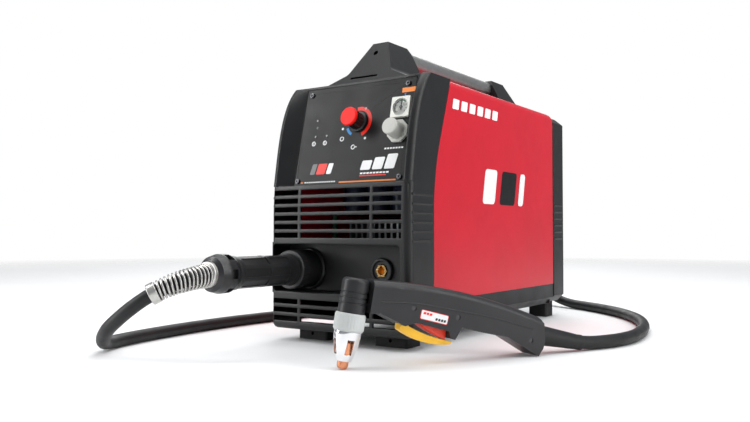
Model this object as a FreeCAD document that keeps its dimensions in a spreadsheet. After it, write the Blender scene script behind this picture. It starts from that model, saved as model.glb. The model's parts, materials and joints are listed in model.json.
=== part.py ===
import FreeCAD, Part
import math
import os
import re
import Sketcher
from FreeCAD import Placement, Rotation, Vector

# An air plasma cutting unit: an inverter in a plastic and sheet-steel case, with its hand torch on a lead.
# Frame: millimetres, +Z up, the front panel faces -Y, the origin is on the floor below the case's centre.

DOC = FreeCAD.newDocument("PlasmaCutter")
SIZES = DOC.addObject("Spreadsheet::Sheet", "Sizes")
NODES = {}

DRIVING = {
    # case
    "case_half": 98.0,
    "case_front": -227.5,
    "case_rear": 227.5,
    "case_top": 304.5,
    "plastic": 3.0,
    "sheet": 1.5,
    "bezel_bottom": 14.0,
    "tray_bottom": 21.0,
    "tray_top": 51.0,
    "joint_line": -177.0,
    "cover_rear": 178.0,
    "corner_round": 8.0,
    "ledge": 182.0,
    # control panel
    "panel_left": -73.0,
    "panel_right": 83.5,
    "panel_foot": -214.7,
    "panel_lean": 12.95,
    "panel_rise": 122.0,
    "panel_sheet": 2.0,
    "opening_left": -66.0,
    "opening_right": 73.0,
    "knob_x": 10.4,
    "knob_up": 74.5,
    "knob_radius": 11.0,
    "knob_proud": 21.0,
    "shaft_radius": 3.0,
    "gauge_x": 68.0,
    "gauge_up": 86.5,
    "gauge_side": 24.0,
    "regulator_x": 67.4,
    "regulator_up": 58.5,
    "regulator_radius": 9.5,
    # grilles and connection bay
    "slot_pitch": 10.0,
    "slot_rise": 6.0,
    "grille_left": -94.0,
    "grille_right": 87.0,
    "bay_left": -95.0,
    "bay_right": 85.0,
    "bay_low": 58.0,
    "bay_high": 114.0,
    "bay_back": -195.0,
    # carrying handle
    "handle_axis": 347.0,
    "handle_radius": 12.5,
    "bracket_top": 361.0,
    # torch outlet and work socket
    "outlet_x": -64.0,
    "outlet_up": 84.0,
    "socket_x": 42.0,
    "socket_up": 84.0,
    # torch and lead
    "lead_radius": 7.25,
    "torch_x": 90.9,
    "torch_y": -336.2,
    "torch_turn": 57.8,
    "head_tilt": 10.0,
    "torch_half": 14.5,
    "coil_x": -127.0,
    "coil_y": 338.0,
    "coil_inner": 68.0,
    "coil_outer": 97.0,
    "coil_rise": 58.3,
    # fits
    "running_gap": 0.05,
    "clear_gap": 0.4,
}


def fill_sheet():
    for row, (name, size) in enumerate(DRIVING.items(), 1):
        SIZES.set(f"A{row}", name)
        SIZES.set(f"B{row}", str(size))
        SIZES.setAlias(f"B{row}", name)
    DOC.recompute()


def value(size):
    """The number that a size stands for: a number, or an expression in the sheet's words."""
    if isinstance(size, (int, float)):
        return float(size)
    return float(SIZES.evalExpression(size))


def bind(thing, prop, size):
    """Sets a property from the sheet, so that it follows the cells."""
    if isinstance(size, (int, float)):
        size = repr(float(size))
    words = re.sub(r"[a-z]+(_[a-z]+)+|[a-z]{4,}", lambda m: cell(m.group()), size)
    thing.setExpression(prop, words)


def cell(word):
    return "Sizes." + word if word in DRIVING else word


def node(thing, label):
    """Names a finished sub-part, which is written to a file of that name."""
    thing.Label = label
    NODES[label] = thing
    return thing


# ---- sketches and solids -------------------------------------------------------------------------

TURNS = {
    "XY": Rotation(),
    "XZ": Rotation(Vector(1, 0, 0), 90),
    "YZ": Rotation(Vector(1, 1, 1), 120),
}
NORMALS = {"XY": Vector(0, 0, 1), "XZ": Vector(0, 1, 0), "YZ": Vector(1, 0, 0)}
LEVELS = {"XY": "Placement.Base.z", "XZ": "Placement.Base.y", "YZ": "Placement.Base.x"}


def circle(x, y, radius):
    return ("circle", x, y, radius)


def rectangle(x_low, x_high, y_low, y_high):
    return [(x_low, y_low), (x_high, y_low), (x_high, y_high), (x_low, y_high)]


class Drawing:
    """Geometry and constraints gathered for one sketch, which are then set in one go."""

    def __init__(self, sketch):
        self.sketch = sketch
        self.shapes = []
        self.rules = []
        self.bound = []

    def rule(self, kind, *words, size):
        if not isinstance(size, (int, float)):
            self.bound.append((len(self.rules), size))
        self.rules.append(Sketcher.Constraint(kind, *words, value(size)))

    def pin(self, curve, end, x, y):
        self.rule("DistanceX", curve, end, size=x)
        self.rule("DistanceY", curve, end, size=y)

    def ring(self, x, y, radius):
        centre = Vector(value(x), value(y), 0)
        self.shapes.append(Part.Circle(centre, Vector(0, 0, 1), value(radius)))
        curve = len(self.shapes) - 1
        self.pin(curve, 3, x, y)
        self.rule("Radius", curve, size=radius)

    def side(self, start, end, bend):
        """Adds one side of a loop. It returns which of the curve's ends is the start, and which the end."""
        if bend is None:
            self.shapes.append(Part.LineSegment(start, end))
            return 1, 2
        centre, radius = circle_through(start, bend, end)
        angles = [math.atan2(p.y - centre.y, p.x - centre.x) for p in (start, end)]
        left_turn = (bend - start).cross(end - bend).z > 0
        if not left_turn:
            angles.reverse()
        if angles[1] < angles[0]:
            angles[1] += 2 * math.pi
        ring = Part.Circle(centre, Vector(0, 0, 1), radius)
        self.shapes.append(Part.ArcOfCircle(ring, *angles))
        self.rules.append(Sketcher.Constraint("Radius", len(self.shapes) - 1, radius))
        return (1, 2) if left_turn else (2, 1)

    def loop(self, points):
        corners = [p for p in points if p[0] != "via"]
        bends = {}
        for i, p in enumerate(points):
            if p[0] == "via":
                side = sum(1 for q in points[:i] if q[0] != "via") - 1
                bends[side] = Vector(value(p[1]), value(p[2]), 0)
        spots = [Vector(value(x), value(y), 0) for x, y in corners]
        first, count = len(self.shapes), len(spots)
        ends = [self.side(spots[i], spots[(i + 1) % count], bends.get(i)) for i in range(count)]
        for i in range(count):
            j = (i + 1) % count
            self.rules.append(
                Sketcher.Constraint("Coincident", first + i, ends[i][1], first + j, ends[j][0])
            )
            self.pin(first + i, ends[i][0], *corners[i])

    def finish(self):
        self.sketch.addGeometry(self.shapes, False)
        self.sketch.addConstraint(self.rules)
        for index, size in self.bound:
            bind(self.sketch, f"Constraints[{index}]", size)


def circle_through(a, b, c):
    """The centre and radius of the circle through three points of a plane."""
    twice = 2 * (a.x * (b.y - c.y) + b.x * (c.y - a.y) + c.x * (a.y - b.y))
    square = [p.x * p.x + p.y * p.y for p in (a, b, c)]
    x = (square[0] * (b.y - c.y) + square[1] * (c.y - a.y) + square[2] * (a.y - b.y)) / twice
    y = (square[0] * (c.x - b.x) + square[1] * (a.x - c.x) + square[2] * (b.x - a.x)) / twice
    centre = Vector(x, y, 0)
    return centre, (a - centre).Length


def draw(sketch, loops):
    """Draws closed loops. A loop is a circle, or corners; ("via", x, y) bends the side that follows."""
    drawing = Drawing(sketch)
    for points in loops:
        if points[0] == "circle":
            drawing.ring(*points[1:])
        else:
            drawing.loop(points)
    drawing.finish()


def prism(name, plane, loops, low, high):
    """Loops drawn on a plane and extruded from low to high along its axis."""
    sketch = DOC.addObject("Sketcher::SketchObject", name + "_outline")
    sketch.Placement = Placement(NORMALS[plane] * value(low), TURNS[plane])
    draw(sketch, loops)
    if not isinstance(low, (int, float)):
        bind(sketch, LEVELS[plane], low)
    solid = DOC.addObject("Part::Extrusion", name)
    solid.Base = sketch
    solid.DirMode = "Custom"
    solid.Dir = NORMALS[plane]
    solid.Solid = True
    bind(solid, "LengthFwd", f"({high}) - ({low})")
    return solid


def block(name, x_low, x_high, y_low, y_high, z_low, z_high):
    solid = DOC.addObject("Part::Box", name)
    spans = (
        ("Length", "x", x_low, x_high),
        ("Width", "y", y_low, y_high),
        ("Height", "z", z_low, z_high),
    )
    for prop, axis, low, high in spans:
        bind(solid, prop, f"({high}) - ({low})")
        bind(solid, f"Placement.Base.{axis}", low)
    return solid


AIMS = {
    "+X": Vector(1, 0, 0),
    "-X": Vector(-1, 0, 0),
    "+Y": Vector(0, 1, 0),
    "-Y": Vector(0, -1, 0),
    "+Z": Vector(0, 0, 1),
    "-Z": Vector(0, 0, -1),
}


def rod(name, radius, length, x, y, z, aim="+Z"):
    """A cylinder that starts at a point and runs along an axis."""
    solid = DOC.addObject("Part::Cylinder", name)
    bind(solid, "Radius", radius)
    bind(solid, "Height", length)
    solid.Placement = Placement(Vector(), Rotation(Vector(0, 0, 1), AIMS[aim]))
    for axis, size in (("x", x), ("y", y), ("z", z)):
        bind(solid, f"Placement.Base.{axis}", size)
    return solid


def join(name, *parts):
    solid = DOC.addObject("Part::MultiFuse", name)
    solid.Shapes = list(parts)
    solid.Refine = True
    return solid


def cut(name, base, *tools):
    """The base without the tools. It stops if the tools take nothing away."""
    tool = tools[0] if len(tools) == 1 else join(name + "_tools", *tools)
    solid = DOC.addObject("Part::Cut", name)
    solid.Base = base
    solid.Tool = tool
    DOC.recompute()
    if base.Shape.Volume - solid.Shape.Volume < 1e-3:
        raise ValueError(f"{name}: the tools cut nothing")
    return solid


def group(name, *parts):
    solid = DOC.addObject("Part::Compound", name)
    solid.Links = list(parts)
    return solid


def rounded(name, base, radius, pick):
    """The base with a fillet on each edge that pick accepts."""
    DOC.recompute()
    size = value(radius)
    chosen = [i for i, e in enumerate(base.Shape.Edges, 1) if pick(e)]
    if not chosen:
        raise ValueError(f"{name}: no edge to round")
    solid = DOC.addObject("Part::Fillet", name)
    solid.Base = base
    solid.Edges = [(i, size, size) for i in chosen]
    return solid


def runs_along(edge, direction):
    if not isinstance(edge.Curve, (Part.Line, Part.LineSegment)):
        return False
    start, end = edge.Vertexes[0].Point, edge.Vertexes[-1].Point
    return (end - start).normalize().cross(Vector(*direction)).Length < 1e-3


def near(edge, low, high):
    """Whether the middle of an edge lies in a box."""
    middle = edge.CenterOfMass
    return all(low[i] <= middle[i] <= high[i] for i in range(3))


class Body:
    """One PartDesign body in its own frame, shaped by sketches and features."""

    def __init__(self, label, at=(0, 0, 0), turn=None):
        self.body = DOC.addObject("PartDesign::Body", label)
        node(self.body, label)
        spot = Vector(*[value(size) for size in at])
        self.body.Placement = Placement(spot, turn or Rotation())
        for axis, size in zip("xyz", at):
            if not isinstance(size, (int, float)):
                bind(self.body, f"Placement.Base.{axis}", size)

    def sketch(self, plane, loops, level=0):
        """A sketch on one of the body's own origin planes, moved along the plane's axis to a level."""
        sketch = self.body.newObject("Sketcher::SketchObject", self.body.Name + "Sketch")
        role = plane + "_Plane"
        base = [f for f in self.body.Origin.OriginFeatures if f.Role == role][0]
        sketch.AttachmentSupport = [(base, "")]
        sketch.MapMode = "FlatFace"
        sign = -1 if plane == "XZ" else 1
        sketch.AttachmentOffset = Placement(
            Vector(0, 0, sign * value(level)), Rotation()
        )
        draw(sketch, loops)
        return sketch

    def feature(self, kind, **settings):
        made = self.body.newObject("PartDesign::" + kind, self.body.Name + kind)
        for name, setting in settings.items():
            setattr(made, name, setting)
        return made

    def pad(self, plane, loops, low, high):
        start = high if plane == "XZ" else low
        made = self.feature("Pad", Profile=self.sketch(plane, loops, start))
        bind(made, "Length", f"({high}) - ({low})")
        DOC.recompute()
        return made

    def pocket(self, plane, loops, low, high):
        """Cuts the loops from low to high, and stops if that takes nothing away."""
        before = self.body.Shape.Volume
        start = low if plane == "XZ" else high
        made = self.feature("Pocket", Profile=self.sketch(plane, loops, start))
        bind(made, "Length", f"({high}) - ({low})")
        DOC.recompute()
        if before - self.body.Shape.Volume < 1e-3:
            raise ValueError(f"{self.body.Label}: a pocket cuts nothing")
        return made

    def turned(self, profile):
        """A profile of (radius, height) points turned about the body's Z axis."""
        sketch = self.sketch("XZ", [profile])
        made = self.feature("Revolution", Profile=sketch)
        made.ReferenceAxis = (sketch, ["V_Axis"])
        made.Angle = 360
        DOC.recompute()
        return made

    def around(self, made, count):
        """Repeats a feature evenly about the body's Z axis."""
        axis = [f for f in self.body.Origin.OriginFeatures if f.Role == "Z_Axis"][0]
        ring = self.feature("PolarPattern", Originals=[made])
        ring.Axis = (axis, [""])
        ring.Angle = 360
        ring.Occurrences = count
        self.body.Tip = ring
        DOC.recompute()
        return ring

    def along(self, made, axis_role, span, count):
        """Repeats a feature evenly along one of the body's axes, over a span."""
        roles = {"X": "X_Axis", "Y": "Y_Axis", "Z": "Z_Axis"}
        axis = [f for f in self.body.Origin.OriginFeatures if f.Role == roles[axis_role]][0]
        row = self.feature("LinearPattern", Originals=[made])
        row.Direction = (axis, [""])
        row.Reversed = span < 0
        row.Length = abs(span)
        row.Occurrences = count
        self.body.Tip = row
        DOC.recompute()
        return row

    def dress(self, kind, size, pick):
        """A Fillet or a Chamfer on the edges that pick accepts."""
        DOC.recompute()
        tip = self.body.Tip
        chosen = [f"Edge{i}" for i, e in enumerate(tip.Shape.Edges, 1) if pick(e)]
        if not chosen:
            raise ValueError(f"{self.body.Label}: no edge to dress")
        made = self.feature(kind, Base=(tip, chosen))
        bind(made, "Radius" if kind == "Fillet" else "Size", size)
        DOC.recompute()
        return made


# ---- case ----------------------------------------------------------------------------------------


REAR_SCREWS = (-80, 80)
REAR_SCREW_UP = 60
FRONT_FEET = ((-55.5, -185), (55.5, -185))
REAR_FEET = ((-70, 198), (70, 198))
SCREW_HOLE = 2.2


def base_tray():
    half = value("case_half") - 1
    low, top = value("tray_bottom"), value("tray_top")
    piece = Body("base_tray")
    section = [(-half, top), (-half, low + 10), (-half + 10, low), (half - 10, low)]
    section += [(half, low + 10), (half, top)]
    piece.pad("XZ", [section], "joint_line", 180)
    skin = 2.5
    inside = [(-half + skin, top + 1), (-half + skin, low + 11), (-half + 11, low + skin)]
    inside += [(half - 11, low + skin), (half - skin, low + 11), (half - skin, top + 1)]
    piece.pocket("XZ", [inside], -180, 181)
    # the upstand that the cover slips over, and the end plate that takes the rear cover's screws
    lip = half - 0.8
    for low_x, high_x in ((-lip, -lip + 2.3), (lip - 2.3, lip)):
        piece.pad("XZ", [rectangle(low_x, high_x, top - 6, top + 18)], -170, 170)
    piece.pad("XZ", [rectangle(-half + 3, half - 3, low + 1, 72)], 172, 175)
    piece.pocket("XZ", [circle(x, REAR_SCREW_UP, 1.9) for x in REAR_SCREWS], 170, 176)
    vents = piece.pocket("XY", [rectangle(-60, -52, 60, 110)], 20, 24)
    piece.along(vents, "X", 112, 8)


def bezel_side():
    """The side outline of the front bezel: a curved front, and the curved line where the cover starts."""
    top = "case_top"
    line = value("joint_line")
    front = value("case_front")
    return [
        (line, "bezel_bottom"),
        (front + 6, "bezel_bottom"),
        ("via", front + 1.8, value("bezel_bottom") + 1.8),
        (front, value("bezel_bottom") + 6),
        (front, 140),
        ("via", -224.2, 197),
        (-214, 252),
        ("via", -203.5, 279),
        (-187, top),
        (-138, top),
        (-162.5, 232),
        ("via", -173.5, 190),
        (line, 148),
    ]


def fin_section(z_low, ridge, panel):
    """The plan of the bezel above the ledge: a rounded fin on each side of the sunk panel."""
    half, round_off = value("case_half"), value("corner_round")
    left, right = value("panel_left"), value("panel_right")
    bend = round_off * (1 - math.sqrt(0.5))
    sketch = DOC.addObject("Sketcher::SketchObject", "bezel_plan")
    sketch.Placement = Placement(Vector(0, 0, z_low), Rotation())
    corner = half - round_off
    plan = [(-half, -138), (-half, ridge + round_off)]
    plan += [("via", -half + bend, ridge + bend), (-corner, ridge), (left, panel)]
    plan += [(right, panel), (corner, ridge), ("via", half - bend, ridge + bend)]
    plan += [(half, ridge + round_off), (half, -138)]
    draw(sketch, [plan])
    return sketch


def panel_depth(z):
    """Where the panel's face is at a height: it leans back."""
    return value("panel_foot") + (z - value("ledge")) * math.tan(math.radians(value("panel_lean")))


def front_bezel():
    half, front = value("case_half"), value("case_front")
    ledge, top = value("ledge"), value("case_top")
    # a block below the ledge, and above it a loft through plans of the two fins
    lower = prism("bezel_lower", "YZ", [bezel_side()], "-case_half", "case_half")
    lower_box = block("bezel_lower_box", -half, half, -240, -130, 0, "ledge")
    lower = DOC.addObject("Part::Common", "bezel_foot")
    lower.Base, lower.Tool = DOC.getObject("bezel_lower"), lower_box
    soft = rounded(
        "bezel_foot_round",
        lower,
        "corner_round",
        lambda e: runs_along(e, (0, 0, 1)) and near(e, (-99, -228, 10), (99, -227, 183)),
    )
    ridges = ((ledge, front), (215, -222.3), (245, -216.5), (275, -207), (296, -195), (top, -187.5))
    loft = DOC.addObject("Part::Loft", "bezel_fins")
    loft.Sections = [
        fin_section(z, ridge, max(panel_depth(z), ridge + 0.5)) for z, ridge in ridges
    ]
    loft.Solid = True
    # the line where the cover starts is cut through the fins
    behind = [(-162.5, 232), ("via", -173.5, 190), ("joint_line", 148), ("joint_line", 100)]
    behind += [(-100, 100), (-100, top + 5), (-136.3, top + 5)]
    tail = prism("bezel_tail", "YZ", [behind], -half - 1, half + 1)
    upper = cut("bezel_upper", loft, tail)
    body = join("bezel_body", soft, upper)
    # the hollow behind the face, open to the rear
    skin = value("plastic")
    hollow_side = [
        (-130, value("bezel_bottom") + skin),
        (front + skin, value("bezel_bottom") + skin),
        (front + skin, ledge - skin),
        (panel_depth(ledge) + 7, ledge - skin),
        (panel_depth(ledge) + 7, ledge),
        (panel_depth(top - skin) + 7, top - skin),
        (-130, top - skin),
    ]
    hollow = prism("bezel_hollow", "YZ", [hollow_side], -half + skin, half - skin)
    opening_side = [
        (panel_depth(ledge) - 1, ledge + 4),
        (panel_depth(top - 8) - 1, top - 8),
        (panel_depth(top - 8) + 12, top - 8),
        (panel_depth(ledge) + 12, ledge + 4),
    ]
    opening = prism("bezel_panel_opening", "YZ", [opening_side], "opening_left", "opening_right")
    # the air controls reach past the opening's edge
    notch_side = [
        (panel_depth(216) - 1, 216),
        (panel_depth(282) - 1, 282),
        (panel_depth(282) + 12, 282),
        (panel_depth(216) + 12, 216),
    ]
    notch = prism("bezel_panel_notch", "YZ", [notch_side], "opening_right - 3", "panel_right - 2.5")
    seat_side = [
        (panel_depth(ledge) - 30, ledge),
        (panel_depth(ledge), ledge),
        (panel_depth(ledge) + 2.15, ledge),
        (panel_depth(301) + 2.15, 301),
        (panel_depth(301) - 30, 301),
    ]
    seat = prism("bezel_panel_seat", "YZ", [seat_side], "panel_left", "panel_right")
    shell = cut("bezel_shell", body, hollow, opening, notch, seat)
    # the sunk bay for the connections is a tray inside the hollow
    across, deep = ("bay_left - 1", "bay_right + 2"), (front + 1, "bay_back + 2.5")
    bay_outer = block("bay_outer", *across, *deep, "bay_low - 2", "bay_high + 2")
    tray = join("bezel_with_bay", shell, bay_outer)
    bay = rounded(
        "bay_round",
        block("bay_space", "bay_left", "bay_right", front - 5, "bay_back", "bay_low", "bay_high"),
        5,
        lambda e: runs_along(e, (0, 1, 0)),
    )
    outlet = rod("bay_outlet", 17, 20, "outlet_x", "bay_back - 5", "outlet_up", "+Y")
    socket = rod("bay_socket", 10, 20, "socket_x", "bay_back - 5", "socket_up", "+Y")
    slots = []
    columns = (("grille_left", -56), (-52, 46), (50, "grille_right"))
    rows = [171 - i * value("slot_pitch") for i in range(6)] + [43.5, 33.5, 23.5]
    for r, z in enumerate(rows):
        for c, (x_low, x_high) in enumerate(columns):
            deep = (front - 5, front + skin + 1)
            slots.append(block(f"slot_{r}_{c}", x_low, x_high, *deep, z, f"{z} + slot_rise"))
    feet_holes = [
        rod(f"bezel_foot_hole_{i}", SCREW_HOLE, 10, x, y, 10) for i, (x, y) in enumerate(FRONT_FEET)
    ]
    open_bezel = cut("bezel_open", tray, bay, outlet, socket, *feet_holes, *slots)
    ribs = side_ribs("bezel", -222, -180)
    node(join("bezel_whole", open_bezel, *ribs), "front_bezel")


def side_ribs(owner, y_low, y_high):
    """Thin proud ribs on both sides, in line with the slats."""
    half = value("case_half")
    ribs = []
    heights = [167.5 - i * value("slot_pitch") for i in range(6)] + [43.0, 33.0]
    for i, z in enumerate(heights):
        for side in (-1, 1):
            x = side * half
            ribs.append(
                block(f"{owner}_rib_{i}_{side + 1}", x - 0.7, x + 0.7, y_low, y_high, z, z + 2)
            )
    return ribs


def panel_point(x, up, proud=0.0):
    """A point on the control panel: across, up along its slope, and out from its face."""
    lean = math.radians(value("panel_lean"))
    y = value("panel_foot") + up * math.sin(lean) - proud * math.cos(lean)
    z = value("ledge") + up * math.cos(lean) + proud * math.sin(lean)
    return Vector(value(x), y, z)


def panel_turn():
    """Turns Z to the panel's outward normal, and Y up its slope."""
    lean = value("panel_lean")
    return Rotation(Vector(1, 0, 0), 90 - lean)


def on_panel(label, x, up, proud=0.0):
    """A body whose Z axis stands out of the control panel at a point of it."""
    piece = Body(label)
    piece.body.Placement = Placement(panel_point(x, value(up), value(proud)), panel_turn())
    return piece


def control_panel():
    piece = on_panel("control_panel", 0, 0)
    left, right, rise = value("panel_left") + 0.3, value("panel_right") - 0.3, value("panel_rise")
    piece.pad("XY", [rectangle(left, right, 0.8, rise)], "-panel_sheet", 0)
    holes = [
        circle("knob_x", "knob_up", 4.0),
        circle("regulator_x", "regulator_up", 9.0),
        rectangle("gauge_x - 10", "gauge_x + 10", "gauge_up - 10", "gauge_up + 10"),
    ]
    holes += [circle(x, up, 1.5) for x, up in LIGHTS]
    holes += [circle(x, up, 1.6) for x, up in PANEL_SCREWS]
    piece.pocket("XY", holes, -3, 1)


LIGHTS = ((-51, 81.3), (-49.5, 72.2), (-50.3, 60.9), (-33.6, 60.9))
PANEL_SCREWS = ((-65, 115), (-68, 6), (73, 115), (76, 6))


def panel_screws():
    screws = []
    for i, (x, up) in enumerate(PANEL_SCREWS):
        head = DOC.addObject("Part::Cylinder", f"panel_screw_head_{i}")
        head.Radius, head.Height = 3.0, 1.6
        shank = DOC.addObject("Part::Cylinder", f"panel_screw_shank_{i}")
        shank.Radius, shank.Height = 1.5, 4.0
        socket = DOC.addObject("Part::Prism", f"panel_screw_socket_{i}")
        socket.Polygon, socket.Circumradius, socket.Height = 6, 1.4, 1.5
        head.Placement = Placement(panel_point(x, up), panel_turn())
        shank.Placement = Placement(panel_point(x, up, -4), panel_turn())
        socket.Placement = Placement(panel_point(x, up, 0.6), panel_turn())
        whole = join(f"panel_screw_{i}", head, shank)
        screws.append(cut(f"panel_screw_cut_{i}", whole, socket))
    node(group("panel_screw_group", *screws), "panel_screws")


def status_lights():
    lamps = []
    for i, (x, up) in enumerate(LIGHTS):
        lamp = DOC.addObject("Part::Cylinder", f"lamp_{i}")
        lamp.Radius, lamp.Height = 1.45, 3.0
        lamp.Placement = Placement(panel_point(x, up, -2.4), panel_turn())
        lamps.append(lamp)
    node(group("lamp_group", *lamps), "status_lights")


def rounded_arch(half, top, radius):
    """A front view that is open-ended below and has two rounded upper corners."""
    bend = radius * (1 - math.sqrt(0.5))
    arch = [(-half, 20), (half, 20), (half, top - radius), ("via", half - bend, top - bend)]
    arch += [(half - radius, top), (-half + radius, top), ("via", -half + bend, top - bend)]
    return arch + [(-half, top - radius)]


def wraparound_cover():
    half, top = value("case_half"), value("case_top")
    line, rear, skin = value("joint_line") + 0.4, value("cover_rear"), value("sheet")
    side = [(line, "tray_top"), (rear, "tray_top"), (rear, 292), ("via", rear - 4, 300)]
    side += [(rear - 14, top), (-136.8, top), (-162.1, 232), ("via", -173.1, 190), (line, 148)]
    profile = prism("cover_side", "YZ", [side], "-case_half", "case_half")
    arch = prism("cover_arch", "XZ", [rounded_arch(half, top, 10)], line - 1, rear + 1)
    solid = DOC.addObject("Part::Common", "cover_solid")
    solid.Base, solid.Tool = profile, arch
    inner = prism("cover_space", "XZ", [rounded_arch(half - skin, top - skin, 8.5)], -185, rear - 14)
    back_space = block("cover_back_space", -half + skin, half - skin, rear - 15, rear + 1, 40, 291)
    holes = [
        rod(f"cover_bracket_hole_{i}", 2.1, 10, x, y, top - 8)
        for i, (x, y) in enumerate(BRACKET_SCREWS)
    ]
    node(cut("cover_cut", solid, inner, back_space, *holes), "wraparound_cover")


BRACKET_SCREWS = ((-16, -112), (16, -112), (-16, 160), (16, 160))


def rear_cover():
    half, rear, top = value("case_half"), value("case_rear"), value("case_top")
    low, skin, front = 23.0, value("plastic"), value("cover_rear") + 3.5
    piece = Body("rear_cover")
    outline = [(-half, low + 10), (-half + 10, low), (half - 10, low), (half, low + 10)]
    outline += [(half, top - 12), (half - 12, top - 2), (-half + 12, top - 2), (-half, top - 12)]
    piece.pad("XZ", [outline], front, rear)
    piece.dress("Fillet", "corner_round", lambda e: abs(e.CenterOfMass.y - rear) < 0.01)
    hollow = rectangle(-half + skin, half - skin, low + skin + 8, top - 14)
    piece.pocket("XZ", [hollow], front - 1, rear - skin)
    lip = [rectangle(-half + 2, half - 2, 53, top - 16), rectangle(-half + 4, half - 4, 55, top - 18)]
    piece.pad("XZ", lip, front - 6.2, front + 1)
    piece.pad("XZ", [circle(x, REAR_SCREW_UP, 5.5) for x in REAR_SCREWS], 175.3, rear - 2)
    piece.pocket("XZ", [circle(x, REAR_SCREW_UP, 2.1) for x in REAR_SCREWS], 175, rear + 1)
    piece.pocket("XZ", [circle(x, REAR_SCREW_UP, 4.2) for x in REAR_SCREWS], 191, rear + 1)
    # exhaust slots in front of the fan, and openings for the switch, the inlet and the mains gland
    slot = piece.pocket("XZ", [rectangle(-70, 20, 196, 202)], rear - 10, rear + 1)
    piece.along(slot, "Z", -100, 11)
    openings = [rectangle(38, 66, 214, 236), circle(52, 150, 8.2), circle(52, 70, 10.2)]
    piece.pocket("XZ", openings, rear - 10, rear + 1)
    piece.pocket("XY", [circle(x, y, SCREW_HOLE) for x, y in REAR_FEET], low - 1, low + 14)
    first = piece.pad("XZ", [rectangle(half - 1, half + 0.7, 167.5, 169.5)], front + 4, rear - 12)
    piece.along(first, "Z", -50, 6)
    second = piece.pad("XZ", [rectangle(-half - 0.7, -half + 1, 167.5, 169.5)], front + 4, rear - 12)
    piece.along(second, "Z", -50, 6)


def handle_brackets():
    """The two end brackets of the handle: a broad foot, steep flanks, and a socket for the tube."""
    top, roof = value("bracket_top"), value("case_top")
    section = [(-66, roof), (66, roof), (34, 319), ("via", 31, 321.5), (29, 325), (11, top)]
    section += [(-11, top), (-29, 325), ("via", -31, 321.5), (-34, 319)]
    reach = 300
    ends = (("handle_front_bracket", -172, -137, -88), ("handle_rear_bracket", 222, 192, 146))
    for label, y_face, y_apex, y_back in ends:
        block_name = label + "_block"
        low, high = min(y_face, y_back), max(y_face, y_back)
        solid = prism(block_name, "XZ", [section], low, high)
        lean = (y_apex - y_face) / (top - roof)
        outside = y_face - math.copysign(reach, y_apex - y_face)
        slope = [(y_face, roof), (y_apex + lean * 20, top + 20), (outside, top + 20), (outside, roof)]
        face = prism(label + "_face", "YZ", [slope], -100, 100)
        sign = math.copysign(1, y_back - y_apex)
        chamfer = [(y_back + sign, top - 9), (y_back - sign * 6, top + 1), (y_back + sign, top + 1)]
        back = prism(label + "_back", "YZ", [chamfer], -100, 100)
        heel = [(y_back + sign, roof - 1), (y_back + sign, 333), (y_back - sign * 9, 320)]
        heel += [(y_back - sign * 9, roof - 1)]
        under = prism(label + "_heel", "YZ", [heel], -100, 100)
        start, end = sorted((y_back + sign, y_back - sign * 30))
        bore = rod(label + "_bore", "handle_radius", end - start, 0, start, "handle_axis", "+Y")
        eye = rod(label + "_eye", 3, 40, -1.5, -160, 347, "+Y")
        slot_start = -180 if y_face < 0 else 190
        slot = block(label + "_slot", -25, 14, slot_start, slot_start + 35, 313.3, 315.8)
        screws = [
            rod(f"{label}_hole_{i}", 1.9, 14, x, y, roof - 1)
            for i, (x, y) in enumerate(BRACKET_SCREWS)
            if low < y < high
        ]
        tools = [face, back, under, bore, slot] + screws + ([eye] if y_face < 0 else [])
        node(cut(label + "_cut", solid, *tools), label)
    start, end = -88 - 29, 146 + 29
    tube = rod("tube_outer", "handle_radius", end - start, 0, start, "handle_axis", "+Y")
    hole = rod("tube_inner", "handle_radius - 1.5", end - start + 2, 0, start - 1, "handle_axis", "+Y")
    node(cut("tube_cut", tube, hole), "handle_tube")


def foot(name, x, y, half_x, half_y, tall):
    solid = block(name + "_block", x - half_x, x + half_x, y - half_y, y + half_y, 0, tall)
    soft = rounded(name + "_round", solid, 3, lambda e: runs_along(e, (0, 0, 1)))
    hole = rod(name + "_hole", 4.5, tall - 4, x, y, -1)
    thread = rod(name + "_thread", 2.2, tall + 2, x, y, -1)
    return cut(name + "_cut", soft, hole, thread)


def feet():
    made = []
    for i, (x, y) in enumerate(FRONT_FEET):
        solid = foot(f"front_foot_{i}", x, y, 21.5, 15, value("bezel_bottom"))
        vent = rod(f"front_foot_vent_{i}", 2, 6, x, y - 16, 7, "+Y")
        made.append(cut(f"front_foot_pierced_{i}", solid, vent))
    made += [foot(f"rear_foot_{i}", x, y, 14, 14, 23) for i, (x, y) in enumerate(REAR_FEET)]
    node(group("foot_group", *made), "feet")


def screw(name, x, y, z, aim, head_radius, shank_radius, length):
    """A pan-head screw: the point is under the head, the shank runs the way it is driven."""
    back = {"+X": "-X", "-X": "+X", "+Y": "-Y", "-Y": "+Y", "+Z": "-Z", "-Z": "+Z"}[aim]
    head = rod(name + "_head", head_radius, 2.2, x, y, z, back)
    shank = rod(name + "_shank", shank_radius, length, x, y, z, aim)
    whole = join(name + "_whole", head, shank)
    tip = Vector(x, y, z) - AIMS[aim] * 1.0
    socket = rod(name + "_socket", head_radius * 0.45, 2, *tip, back)
    return cut(name, whole, socket)


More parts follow.
